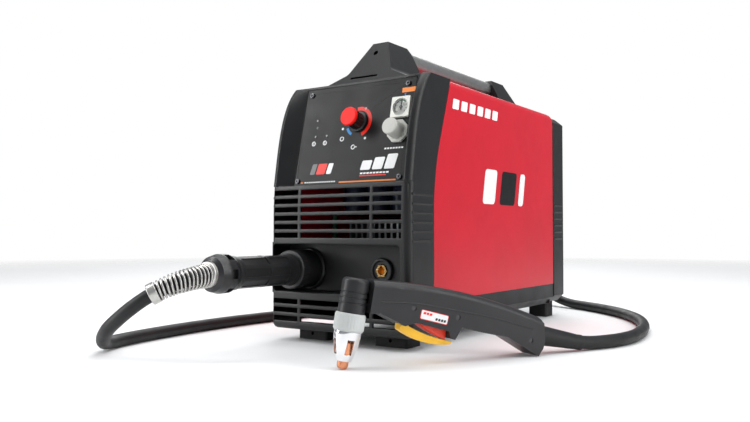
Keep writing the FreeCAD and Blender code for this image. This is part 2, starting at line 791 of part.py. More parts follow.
def case_screws():
    roof = value("case_top")
    made = []
    for i, (x, y) in enumerate(BRACKET_SCREWS):
        made.append(screw(f"bracket_screw_{i}", x, y, roof - value("sheet"), "+Z", 3.5, 1.9, 12))
    for i, x in enumerate(REAR_SCREWS):
        made.append(screw(f"rear_screw_{i}", x, 191, REAR_SCREW_UP, "-Y", 3.5, 1.85, 17))
    for feet_places, up in ((FRONT_FEET, 9), (REAR_FEET, 18)):
        for x, y in feet_places:
            made.append(screw(f"foot_screw_{len(made)}", x, y, up, "+Z", 3.8, 2.15, 9))
    node(group("case_screw_group", *made), "case_screws")


# ---- controls ------------------------------------------------------------------------------------


def current_control():
    radius, proud = value("knob_radius"), value("knob_proud")
    shaft, gap = value("shaft_radius"), value("clear_gap")
    knob = on_panel("current_knob", "knob_x", "knob_up")
    edge = radius - 0.6
    profile = [(shaft, gap), (radius + 1, gap), (radius + 1, 2.4), (edge, 3.4), (edge, proud - 3.2)]
    profile += [(shaft, proud - 3.2)]
    knob.turned(profile)
    flute = knob.pocket("XY", [circle(edge + 0.5, 0, 1.3)], 5, proud - 1)
    knob.around(flute, 12)
    cap = on_panel("current_knob_cap", "knob_x", "knob_up", proud - 3.2)
    crown = [("via", radius - 0.35, 2.85), (radius - 1.2, 3.2), (0, 3.2)]
    cap.turned([(0, 0), (radius, 0), (radius, 2.0)] + crown)
    spindle = on_panel("current_spindle", "knob_x", "knob_up")
    spindle.turned([(0, -11.5), (shaft, -11.5), (shaft, proud - 3.3), (0, proud - 3.3)])
    pot = on_panel("current_potentiometer", "knob_x", "knob_up", -2.1)
    bore = shaft + value("running_gap")
    pot.turned([(bore, -10), (12, -10), (12, -2.2), (3.9, -2.2), (3.9, 2.0), (bore, 2.0)])
    pot.pad("XY", [rectangle(-6, 6, -19, -11)], -8, -6)


def pressure_gauge():
    half, proud = value("gauge_side") / 2, 4.0
    case = on_panel("gauge_case", "gauge_x", "gauge_up")
    case.pad("XY", [rectangle(-half, half, -half, half)], 0.05, proud)
    case.dress("Fillet", 1.2, lambda e: runs_along(e, (0, 0, 1)))
    case.pad("XY", [circle(0, 0, 9.6)], -24, 0.06)
    case.pad("XY", [circle(0, 0, 4.0)], -34, -23.9)
    case.pocket("XY", [circle(0, 0, 10.0)], 1.2, proud + 1)
    case.pad("XY", [circle(0, 0, 0.55)], 1.0, 2.2)
    needle = on_panel("gauge_needle", "gauge_x", "gauge_up", 1.6)
    hub = 0.55 + value("running_gap")
    needle.turned([(hub, 0), (1.8, 0), (1.8, 0.7), (hub, 0.7)])
    needle.pad("XY", [[(-0.55, 1.0), (0.55, 1.0), (0.2, 8.2), (-0.2, 8.2)]], 0.1, 0.5)
    needle.pad("XY", [[(-0.8, -3.4), (0.8, -3.4), (0.55, -1.0), (-0.55, -1.0)]], 0.1, 0.5)
    lens = on_panel("gauge_lens", "gauge_x", "gauge_up", proud - 1.2)
    lens.pad("XY", [circle(0, 0, 9.95)], 0, 1.0)


def air_regulator():
    radius = value("regulator_radius")
    knob = on_panel("regulator_knob", "regulator_x", "regulator_up")
    profile = [(7.2, 3.4), (radius, 3.4), (radius, 18.6), ("via", radius - 0.5, 19.7), (radius - 1.5, 20.2)]
    profile += [(0, 20.2), (0, 9.0), (7.2, 9.0)]
    knob.turned(profile)
    nut = on_panel("regulator_nut", "regulator_x", "regulator_up")
    nut.pad("XY", [regular(8, 13.9, 22.5)], 0.05, 3.0)
    nut.pocket("XY", [circle(0, 0, 6.6)], 0, 4)
    body = on_panel("regulator_body", "regulator_x", "regulator_up")
    stem = [(12.5, -2.1), (8.9, -2.1), (8.9, 0), (6.5, 0), (6.5, 8.4), (0, 8.4)]
    body.turned([(0, -REGULATOR_REACH), (10, -REGULATOR_REACH), (12.5, -42)] + stem)
    body.pad("XY", [rectangle(-15, 12, -6, 6)], -34, -22)


REGULATOR_REACH = 46


# ---- torch outlet and work socket ----------------------------------------------------------------


def work_socket():
    facing = Rotation(Vector(1, 0, 0), 90)
    housing = Body("work_socket_housing", ("socket_x", "bay_back", "socket_up"), facing)
    rim = [(7.6, -16), (9.8, -16), (9.8, 0.05), (14.5, 0.05), (14.5, 2.5), ("via", 13.9, 3.6), (12.6, 4.2)]
    rim += [(11.4, 4.2), (10.6, 2.0), (7.6, 2.0)]
    housing.turned(rim)
    insert = Body("work_socket_insert", ("socket_x", "bay_back", "socket_up"), facing)
    insert.pad("XY", [regular(6, 7.5)], -18, 3.4)
    insert.pocket("XY", [circle(0, 0, 4.6)], -14, 4)
    insert.pocket("XY", [rectangle(-1.6, 1.6, 3.8, 6.0)], -2, 4)


def regular(sides, reach, turn=0):
    """The corners of a regular polygon."""
    spots = []
    for i in range(sides):
        angle = math.radians(360 * i / sides + turn)
        spots.append((reach * math.cos(angle), reach * math.sin(angle)))
    return spots


def torch_connector():
    """Along -Y from the bay: socket flange, locking ring, ribbed grip, cage, ferrule and spring."""
    facing = Rotation(Vector(1, 0, 0), 90)

    def start(distance):
        return ("outlet_x", f"bay_back - {distance}", "outlet_up")

    base = Body("torch_socket_base", start(0), facing)
    flange = [(16.5, 0.05), (25, 0.05), (25, 3), (23.5, 4.5), (19.5, 4.5), (19.5, 12), (0, 12)]
    base.turned([(0, -24), (16.5, -24)] + flange)
    ring = Body("connector_ring", start(5), facing)
    rim = [(22, 0), (22.8, 1), (22.8, 32), (21.6, 34)]
    ring.turned([(19.9, 0)] + rim + [(18.6, 34), (18.6, 9), (19.9, 9)])
    knurl = ring.pocket("XY", [circle(23.3, 0, 0.95)], 22, 35)
    ring.around(knurl, 36)
    body = Body("connector_body", start(17.3), facing)
    grip = [(18.2, 0), (18.2, 24), (17.6, 26), (17.6, 110), (18.4, 112), (18.4, 117)]
    body.turned([(0, 0)] + grip + [(0, 117)])
    for low, high in ((36, 66), (70, 108)):
        window = body.pocket("XY", [[(16, -4.6), (20, -4.6), (20, 4.6), (16, 4.6)]], low, high)
        body.around(window, 8)
    cage = Body("connector_collar", start(134.5), facing)
    cage.turned([(13.6, 0), (18.4, 0), (20.6, 5), (20.8, 16), (18.5, 25), (13.6, 28)])
    slit = cage.pocket("XY", [[(15.4, -5.0), (24, -5.0), (24, 5.0), (15.4, 5.0)]], 6, 14)
    cage.around(slit, 6)
    core = Body("lead_ferrule", start(134.5), facing)
    core.turned([(7.3, 0), (13.5, 0), (13.5, 31), ("via", 12.9, 32.4), (11.5, 33), (7.3, 33)])


# ---- torch ---------------------------------------------------------------------------------------


def torch_place(along=0.0, across=0.0, up=0.0, tilt=0.0):
    """A place in the torch's frame: X runs back from the tip, Z up. The torch lies on the floor."""
    turn = Rotation(Vector(0, 0, 1), value("torch_turn"))
    spot = Vector(value("torch_x"), value("torch_y"), 0)
    whole = Placement(spot, turn)
    return whole.multiply(Placement(Vector(along, across, up), Rotation(Vector(0, 1, 0), tilt)))


def on_head(label, distance=0.0):
    """A body on the axis of the torch's head: Z runs up from the nozzle's tip."""
    piece = Body(label)
    tilt = value("head_tilt")
    lift = math.radians(tilt)
    reach = Vector(math.sin(lift) * distance, 0, math.cos(lift) * distance)
    piece.body.Placement = torch_place(reach.x, 0, reach.z + TIP_UP, tilt)
    return piece


TIP_UP = 0.9


def torch_head_parts():
    nozzle = on_head("nozzle")
    outside = [(4.4, 0), (5.3, 2.0), (5.6, 7.6), (8.0, 12.4), (8.0, 24)]
    nozzle.turned([(0.6, 0)] + outside + [(6.9, 24), (6.9, 12.5), (4.3, 8), (4.3, 4.5), (0.6, 2.6)])
    electrode = on_head("electrode", 5.2)
    electrode.turned([(0, 0), (3.2, 0), (4.2, 4), (4.2, 20), (3.0, 20), (3.0, 40), (0, 40)])
    cup = on_head("retaining_cup", 34.5)
    rim = [(13.2, 0), (14.6, 2.0), (14.6, 15.5), (13.8, 17)]
    cup.turned([(7.0, 0)] + rim + [(11.4, 17), (11.4, 4), (7.0, 4)])
    knurl = cup.pocket("XY", [circle(15.3, 0, 0.95)], 3, 18)
    cup.around(knurl, 30)
    guard = on_head("shield_cup")
    outside = [(7.6, 6.8), (9.4, 12), (11.8, 22), (13.1, 32), (13.1, 34.4)]
    guard.turned([(6.2, 7.4)] + outside + [(8.6, 34.4), (8.6, 24), (8.6, 12)])
    window = guard.pocket("XZ", [[(-3.4, 13), (3.4, 13), (3.4, 27), (-3.4, 27)]], -20, 0)
    guard.around(window, 4)
    head = on_head("torch_head", 46)
    grooved = [(3.1, 0), (11.1, 0), (11.1, 5.8), (12.9, 5.8), (12.9, 14)]
    for low in (14.0, 19.0, 24.0):
        grooved += [(12.2, low + 0.5), (12.2, low + 1.5), (12.9, low + 2), (12.9, low + 5)]
    grooved += [(12.9, 34), ("via", 11.9, 37.2), (9.5, 38.6), (0, 38.6), (0, 15), (3.1, 15)]
    head.turned(grooved)


HANDLE_REAR = ((217.5, 33.4), (218.2, 14.6), (215.6, 7.4), (209.9, 0.2))
HANDLE_GUARD = ((120.3, 34.0), (112.5, 22.5), (107.5, 24.0), (106.0, 31.0), (70.0, 41.0), (58.7, 38.5))
TORCH_SCREWS = ((68.0, 55.0), (116.0, 44.0), (201.0, 17.0))
TRIGGER_PIN = (79.0, 45.0)
LEVER_PIN = (61.5, 43.5)


def beside_head(up, clear):
    """A point of the torch's side view at a distance behind the head's axis."""
    lift = math.radians(value("head_tilt"))
    return (up * math.tan(lift) + clear / math.cos(lift), up)


def torch_piece(label):
    piece = Body(label)
    piece.body.Placement = torch_place()
    return piece


def torch_handle():
    half, skin = value("torch_half"), 2.4
    outline = [beside_head(83.0, 13.2), ("via", 114.7, 70.2), (213.4, 39.8)] + list(HANDLE_REAR)
    outline += [(172.8, 22.2), ("via", 147, 27.2)] + list(HANDLE_GUARD)
    outline += [(33.5, 51.5), beside_head(51.5, 13.2)]
    hollow = [(38, 76), ("via", 112, 65.5), (205, 36), (205, 21), (174, 28), (150, 32), (120.3, 39)]
    hollow += [(104, 41), (72, 46.5), (58, 48.0), (38, 58)]
    for label, side in (("torch_handle_left", 1), ("torch_handle_right", -1)):
        shell = torch_piece(label)
        low, high = sorted((0.0, side * half))
        shell.pad("XZ", [outline], low, high)
        shell.dress("Fillet", 7, lambda e: on_long_edge(e, side * half))
        inner_low, inner_high = sorted((0.0, side * (half - skin)))
        shell.pocket("XZ", [hollow], inner_low, inner_high)
        shell.pad("XZ", [circle(a, up, 3.4) for a, up in TORCH_SCREWS[:2]], inner_low, inner_high)
        # the pipe to the head, the finger slots, and the lead's way out
        pipe_low, pipe_high = sorted((0.0, side * 4.6))
        shell.pocket("XZ", [[(20, 69), (39, 69), (39, 60), (20, 60)]], pipe_low, pipe_high)
        slot_low, slot_high = sorted((0.0, side * 7.6))
        finger = [(72.0, 36), (72.0, 22), (110.5, 18), (110.5, 47), (72.0, 50)]
        thumb = [(55.0, 30), (71.9, 30), (71.9, 50), (55.0, 50)]
        shell.pocket("XZ", [finger], slot_low, slot_high)
        slot_low, slot_high = sorted((0.0, side * 6.4))
        shell.pocket("XZ", [thumb], slot_low, slot_high)
        exit_low, exit_high = sorted((0.0, side * 7.4))
        shell.pocket("XZ", [rectangle(204, 221, 12, 31)], exit_low, exit_high)
        pins = [circle(*TRIGGER_PIN, 1.5), circle(*LEVER_PIN, 1.5)]
        pin_low, pin_high = sorted((0.0, side * 14.0))
        shell.pocket("XZ", pins, pin_low, pin_high)
        hole_low, hole_high = sorted((-side * 0.1, side * (9.0 if side > 0 else half + 1)))
        shell.pocket("XZ", [circle(a, up, 1.3) for a, up in TORCH_SCREWS], hole_low, hole_high)
        if side < 0:
            shell.pocket("XZ", [circle(a, up, 2.6) for a, up in TORCH_SCREWS], -half - 1, -half + 2.4)


def on_long_edge(edge, rim):
    """The long curved top edge of a handle half, on its outer face."""
    middle = edge.CenterOfMass
    return abs(middle.y - rim) < 0.01 and edge.Length > 60 and middle.x > 60


def torch_controls():
    trigger = torch_piece("torch_trigger")
    a, up = TRIGGER_PIN
    paddle = [(a - 4, up - 4), (a - 4, up + 1), (a, up + 3.6), (102.5, 40.5), (106.2, 38.6), (106.2, 25.0)]
    paddle += [(104.6, 22.3), (96.0, 26.5), (82.0, 34.4)]
    trigger.pad("XZ", [paddle], -7.0, 7.0)
    trigger.pocket("XZ", [circle(a, up, "1.5 + running_gap")], -8, 8)
    lever = torch_piece("safety_lever")
    a, up = LEVER_PIN
    hook = [(a - 3.3, up - 0.8), ("via", a, up + 3.4), (a + 3.3, up - 0.8), (a + 4.6, 37.2)]
    hook += [("via", 84, 28.6), (111.5, 20.2), ("via", 112.6, 18.6), (111, 17.2), ("via", 84, 20.4), (56.6, 34.4)]
    lever.pad("XZ", [hook], -5.9, 5.9)
    lever.pocket("XZ", [circle(a, up, "1.5 + running_gap")], -7, 7)
    pins = []
    for i, (a, up) in enumerate((TRIGGER_PIN, LEVER_PIN)):
        pin = DOC.addObject("Part::Cylinder", f"torch_pin_{i}")
        pin.Radius, pin.Height = 1.5, 27.8
        pin.Placement = torch_place(a, 13.9, up).multiply(Placement(Vector(), TURNS["XZ"]))
        pins.append(pin)
    node(group("torch_pin_group", *pins), "torch_pins")
    switch = torch_piece("trigger_switch")
    switch.pad("XZ", [rectangle(86, 101, 48.5, 56)], -3.2, 3.2)
    screws = []
    for i, (a, up) in enumerate(TORCH_SCREWS):
        head = DOC.addObject("Part::Cylinder", f"torch_screw_head_{i}")
        head.Radius, head.Height = 2.5, 1.6
        shank = DOC.addObject("Part::Cylinder", f"torch_screw_shank_{i}")
        shank.Radius, shank.Height = 1.25, 18.0
        start = -value("torch_half") + 2.4
        head.Placement = torch_place(a, start, up).multiply(Placement(Vector(), TURNS["XZ"]))
        turn = Rotation(Vector(1, 0, 0), -90)
        shank.Placement = torch_place(a, start, up).multiply(Placement(Vector(), turn))
        screws.append(join(f"torch_screw_{i}", head, shank))
    node(group("torch_screw_group", *screws), "torch_screws")
    boot = Body("torch_boot")
    boot.body.Placement = torch_place(216.0, 0, BOOT_UP, 90 + BOOT_DROP)
    inner = "lead_radius + running_gap"
    taper = [(7.3, 3.0), (10.6, 3.0), (8.6, 44), (8.0, 54), (8.3, 56), (8.3, 59)]
    boot.turned([(7.3, -9)] + taper + [(inner, 59)])


BOOT_UP = 20.6
BOOT_DROP = 11.6


# ---- lead ----------------------------------------------------------------------------------------


def boot_axis(distance):
    """A point on the line through the torch's boot, in the case's frame."""
    drop = math.radians(BOOT_DROP)
    place = torch_place(216.0 + distance * math.cos(drop), 0, BOOT_UP - distance * math.sin(drop))
    return tuple(place.Base)


FRONT_ROUTE = [
    (-64, -344, 84.0),
    (-64, -366, 82.6),
    (-67.5, -384, 79.6),
    (-75.6, -400, 74.5),
    (-88, -413, 65.5),
    (-103.5, -421, 54.0),
    (-121, -424.5, 41.5),
    (-139.5, -423.5, 30.0),
    (-157.5, -416, 19.5),
    (-173.5, -404.5, 11.0),
    (-187, -388, 7.4),
    (-197.5, -362, 7.3),
    (-206, -325, 7.3),
    (-213.5, -280, 7.3),
    (-219.5, -225, 7.3),
    (-221.5, -165, 7.3),
    (-218, -105, 7.3),
    (-210, -50, 7.3),
    (-204, 5, 7.3),
    (-202.5, 60, 7.3),
    (-205.5, 115, 7.3),
    (-211, 170, 7.3),
    (-215.5, 225, 7.3),
    (-217, 282, 7.3),
    (-216.8, 338, 7.3),
]

REAR_ROUTE = [
    (-83, 416.3, 46.0),
    (-53, 400, 44.0),
    (-22, 383, 36.0),
    (8, 367, 24.0),
    (37, 350, 13.0),
    (67, 332, 7.6),
    (100, 311, 7.3),
    (137, 282, 7.3),
    (173, 246, 7.3),
    (206, 202, 7.3),
    (232, 152, 7.3),
    (251, 98, 7.3),
    (263, 43, 7.3),
    (267.5, -3, 7.3),
    (265, -38, 7.3),
    (257, -66, 7.3),
]


def arc_path(route):
    """Straight runs joined by tangent arcs, and the radius of each arc."""
    points = [Vector(*p) for p in route]
    edges, radii = [], []
    start = points[0]
    for before, corner, after in zip(points, points[1:], points[2:]):
        a, b = (before - corner), (after - corner)
        shorter = min(a.Length, b.Length)
        a.normalize()
        b.normalize()
        turn = math.pi - a.getAngle(b)
        reach = ARC_SHARE * shorter
        radii.append(reach / math.tan(turn / 2))
        first, last = corner + a * reach, corner + b * reach
        inward = (a + b).normalize()
        middle = corner + inward * (radii[-1] / math.cos(turn / 2) - radii[-1])
        edges.append(Part.LineSegment(start, first).toShape())
        edges.append(Part.Arc(first, middle, last).toShape())
        start = last
    edges.append(Part.LineSegment(start, points[-1]).toShape())
    return Part.Wire(edges), radii


ARC_SHARE = 0.45


def tube_along(path, radius):
    """A round solid of one radius along a path."""
    first = path.Edges[0]
    start, aim = first.valueAt(first.FirstParameter), first.tangentAt(first.FirstParameter)
    ring = Part.Wire([Part.Circle(start, aim, radius).toShape()])
    return path.makePipeShell([ring], True, True)


def lead():
    rear = REAR_ROUTE + [boot_axis(65.0), boot_axis(42.0)]
    radius = value("lead_radius")
    for label, route in (("lead_front", FRONT_ROUTE), ("lead_rear", rear)):
        path, radii = arc_path(route)
        made = DOC.addObject("Part::Feature", label)
        made.Shape = tube_along(path, radius)
        node(made, label)
        share = made.Shape.Volume / (math.pi * radius**2 * path.Length)
        print(f"{label}: {path.Length:.0f} mm, radii {[round(r) for r in radii]}, volume share {share:.4f}")
    coil = Body("lead_coil", ("coil_x", "coil_y", 0))
    inner, outer, rise = value("coil_inner"), value("coil_outer"), value("coil_rise")
    side = [(inner, 5), ("via", inner + 1.5, 1.5), (inner + 5, 0)]
    side += [(outer - 5, 0), ("via", outer - 1.5, 1.5), (outer, 5)]
    side += [(outer, rise - 5), ("via", outer - 1.5, rise - 1.5), (outer - 5, rise)]
    side += [(inner + 5, rise), ("via", inner + 1.5, rise - 1.5), (inner, rise - 5)]
    coil.turned(side)


SLEEVE_END = (-84.5, -410, 68.5)


def strain_relief():
    """The sprung sleeve over the lead where it leaves the ferrule, as one hollow tube."""
    path, _ = arc_path(FRONT_ROUTE[1:4] + [SLEEVE_END])
    outer, inner = tube_along(path, 10.2), tube_along(path, value("lead_radius") + 0.05)
    made = DOC.addObject("Part::Feature", "strain_relief_spring")
    made.Shape = outer.cut(inner)
    node(made, "strain_relief_spring")


# ---- inside the case -----------------------------------------------------------------------------


def inside():
    board = Body("control_board")
    board.body.Placement = Placement(panel_point(0, 60, -26), panel_turn())
    board.pad("XY", [rectangle(-62, 36, -42, 46)], 0, 1.6)
    for x, y in ((-55, -36), (30, -36), (-55, 40), (30, 40)):
        board.pad("XY", [circle(x, y, 2.2)], 1.5, 5.0)
    board.pad("XY", [rectangle(-40, -22, -20, 0), rectangle(-14, 0, -30, -16)], 1.5, 6)
    plate = Body("chassis_plate")
    plate.pad("XY", [rectangle(-92, 92, -150, 168)], 74, 76)
    plate.pad("XZ", [rectangle(-92, -90, 52, 75), rectangle(90, 92, 52, 75)], -150, 168)
    power = Body("power_board")
    power.pad("XY", [rectangle(-84, 84, -140, 60)], 150, 152)
    legs = [circle(x, y, 3) for x in (-76, 76) for y in (-130, 50)]
    power.pad("XY", legs, 76.0, 150.1)
    sink = Body("heatsink")
    sink.pad("XZ", [rectangle(-60, 60, 76, 84)], -120, 30)
    fin = sink.pad("XZ", [rectangle(-60, -57, 83, 140)], -120, 30)
    sink.along(fin, "X", 117, 14)
    core = Body("main_transformer")
    core.pad("XZ", [rectangle(-46, 46, 152, 212)], -60, 20)
    core.dress("Fillet", 6, lambda e: runs_along(e, (0, 1, 0)) and e.CenterOfMass.z > 200)
    core.pad("XZ", [rectangle(-28, 28, 160, 228)], -74, 34)
    cans = [rod(f"capacitor_{i}", 15, 62, -56 + 37 * i, -112, 152) for i in range(3)]
    node(group("capacitor_group", *cans), "capacitors")
    valve = Body("solenoid_valve")
    valve.pad("XY", [rectangle(24, 64, 140, 166)], 96, 120)
    valve.pad("XY", [circle(44, 153, 11)], 119.9, 150)
    valve.pad("XY", [rectangle(38, 50, 147, 159)], 76, 96.1)
    fan()
    mains()
    air()


def fan():
    """A 120 mm axial fan behind the exhaust slots."""
    x, up, low, high = -25.0, 150.0, 186.0, 210.0
    frame = Body("fan_frame")
    frame.pad("XZ", [rectangle(x - 60, x + 60, up - 60, up + 60)], low, high)
    frame.pocket("XZ", [circle(x, up, 57.0)], low - 1, high + 1)
    frame.pad("XZ", [circle(x, up, 18)], high - 4, high)
    for angle in (45, 135, 225, 315):
        c, s = math.cos(math.radians(angle)), math.sin(math.radians(angle))
        ends = ((16, 2), (16, -2), (58.5, -2), (58.5, 2))
        spoke = [(x + out * c - side * s, up + out * s + side * c) for out, side in ends]
        frame.pad("XZ", [spoke], high - 4, high)
    frame.pad("XZ", [circle(x, up, 1.5)], low + 4, high - 3.9)
    rotor = Body("fan_rotor", (x, high - 5, up), Rotation(Vector(1, 0, 0), 90))
    bore = 1.5 + value("running_gap")
    rotor.turned([(bore, 0), (19, 0), (19, 15), ("via", 18.2, 16.6), (16.5, 17), (bore, 17)])
    foot_edge = rotor.sketch("XY", [[(17, -10), (52, -16), (52, -12), (17, -6.5)]], 1.5)
    top_edge = rotor.sketch("XY", [[(17, 4), (52, 14), (52, 17.5), (17, 7.5)]], 15.5)
    blade = rotor.feature("AdditiveLoft", Profile=foot_edge)
    blade.Sections = [top_edge]
    DOC.recompute()
    rotor.around(blade, 7)


def mains():
    rear = value("case_rear")
    switch = Body("mains_switch")
    switch.pad("XZ", [rectangle(35, 69, 211, 239)], rear + 0.05, rear + 2.4)
    switch.pad("XZ", [rectangle(38.3, 65.7, 214.3, 235.7)], rear - 26, rear + 0.1)
    switch.pocket("XZ", [rectangle(41, 63, 215.6, 234.4)], rear - 12, rear + 3)
    rocker = Body("mains_rocker", (52, rear - 3.0, 225))
    tilt = [(-5.5, -5.0), (3.0, -7.6), ("via", 2.4, 0), (5.8, 7.4), (-5.5, 5.0)]
    rocker.pad("YZ", [tilt], -10.6, 10.6)
    gland = Body("mains_gland", (52, rear, 70), Rotation(Vector(1, 0, 0), -90))
    nut = [(10, 0.05), (14, 0.05), (14, 6), (11.5, 8), (11.5, 20), (10, 22)]
    gland.turned([(6, -12), (10, -12)] + nut + [(6, 22)])


def air():
    """From the rear inlet to the valve, to the regulator, and to the torch outlet."""
    rear = value("case_rear")
    inlet = Body("air_inlet_fitting", (52, rear, 150), Rotation(Vector(1, 0, 0), -90))
    inlet.turned([(5.7, -20), (8, -20), (8, 0.05), (13, 0.05), (13, 5), (9.5, 5), (9.5, 17), (5.7, 17)])
    port = panel_point("regulator_x", value("regulator_up"), -REGULATOR_REACH - 0.1)
    before_port = panel_point("regulator_x", value("regulator_up"), -REGULATOR_REACH - 40)
    routes = (
        [(52, rear - 20.2, 150), (52, 178, 150), (52, 196, 108), (52, 166.1, 108)],
        [(44, 139.9, 108), (44, 112, 108), (52, 100, 118), (66, 96, 178)]
        + [(72, 40, 190), (72, -60, 200), before_port, port],
    )
    hoses = []
    for route in routes:
        points = [Vector(*p) for p in route]
        line = Part.BSplineCurve()
        line.buildFromPoles(points, False, 3)
        ring = Part.Circle(points[0], points[1] - points[0], HOSE_RADIUS)
        path = Part.Wire([line.toShape()])
        hoses.append(path.makePipeShell([Part.Wire([ring.toShape()])], True, True))
    made = DOC.addObject("Part::Feature", "air_hoses")
    made.Shape = Part.makeCompound(hoses)
    node(made, "air_hoses")


HOSE_RADIUS = 4.0


# ---- the whole unit ------------------------------------------------------------------------------


def write_nodes():
    DOC.recompute()
    for thing in DOC.Objects:
        bad = [word for word in thing.State if word in ("Invalid", "Error")]
        if bad:
            raise RuntimeError(f"{thing.Label}: {bad}")
    os.makedirs("parts", exist_ok=True)
    wrong = [n for n, thing in NODES.items() if thing.Shape.isNull() or not thing.Shape.isValid()]
    if wrong:
        raise RuntimeError(f"no valid shape: {wrong}")
    for label, thing in NODES.items():
        shape = thing.Shape
        shape.exportStep(os.path.join("parts", label + ".step"))
        low, high = shape.BoundBox.ZMin, shape.BoundBox.ZMax
        volume = shape.Volume / 1000
        print(f"{label}: {len(shape.Solids)} solids, {volume:.1f} cm3, z {low:.1f}..{high:.1f}")


def main():
    fill_sheet()
    base_tray()
    front_bezel()
    control_panel()
    panel_screws()
    status_lights()
    wraparound_cover()
    rear_cover()
    handle_brackets()
    feet()
    case_screws()
    current_control()
    pressure_gauge()
    air_regulator()
    work_socket()
    torch_connector()
    torch_head_parts()
    torch_handle()
    torch_controls()
    lead()
    strain_relief()
    inside()
    write_nodes()


main()
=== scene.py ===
import json
import math

import bmesh
import bpy
from mathutils import Matrix, Vector


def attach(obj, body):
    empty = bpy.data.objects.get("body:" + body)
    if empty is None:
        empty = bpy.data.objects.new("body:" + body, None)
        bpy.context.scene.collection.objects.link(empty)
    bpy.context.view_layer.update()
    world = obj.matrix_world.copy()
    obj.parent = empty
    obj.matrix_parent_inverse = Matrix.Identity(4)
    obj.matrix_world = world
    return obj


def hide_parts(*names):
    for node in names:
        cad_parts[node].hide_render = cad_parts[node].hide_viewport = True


# A plasma cutting unit and its hand torch.
# Lengths are in millimetres, apart from the studio's, and become metres in mm(), scaled() and the like.

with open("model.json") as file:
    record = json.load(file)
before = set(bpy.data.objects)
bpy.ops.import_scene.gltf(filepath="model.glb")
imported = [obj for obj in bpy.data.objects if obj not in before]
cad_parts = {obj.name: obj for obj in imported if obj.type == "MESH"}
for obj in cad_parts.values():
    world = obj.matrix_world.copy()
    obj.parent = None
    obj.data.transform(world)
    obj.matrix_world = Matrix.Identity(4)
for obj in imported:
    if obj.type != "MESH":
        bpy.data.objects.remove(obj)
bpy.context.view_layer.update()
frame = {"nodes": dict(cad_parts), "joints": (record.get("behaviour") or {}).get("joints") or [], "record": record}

JOINTS = {joint["name"]: joint for joint in frame["joints"]}
UNIT = "unit"


def mm(x, y, z):
    return Vector((x, y, z)) / 1000


def joint_point(name):
    return Vector(JOINTS[name]["pos_m"])


def joint_axis(name):
    return Vector(JOINTS[name]["axis"]).normalized()


# ---- camera --------------------------------------------------------------------------------------

CAMERA_AT = mm(513.7, -896.9, 127.1)
CAMERA_AZIMUTH = math.radians(34.5)
CAMERA_PITCH = math.radians(1.65)
LENS = 35.94


def make_camera():
    data = bpy.data.cameras.new("camera")
    data.sensor_width = 36
    data.lens = LENS
    data.clip_start = 0.01
    level = math.cos(CAMERA_PITCH)
    across, ahead = -math.sin(CAMERA_AZIMUTH) * level, math.cos(CAMERA_AZIMUTH) * level
    aim = Vector((across, ahead, math.sin(CAMERA_PITCH)))
    camera = bpy.data.objects.new("camera", data)
    camera.location = CAMERA_AT
    camera.rotation_euler = aim.to_track_quat("-Z", "Y").to_euler()
    bpy.context.scene.collection.objects.link(camera)
    bpy.context.scene.camera = camera


make_camera()


# ---- materials -----------------------------------------------------------------------------------


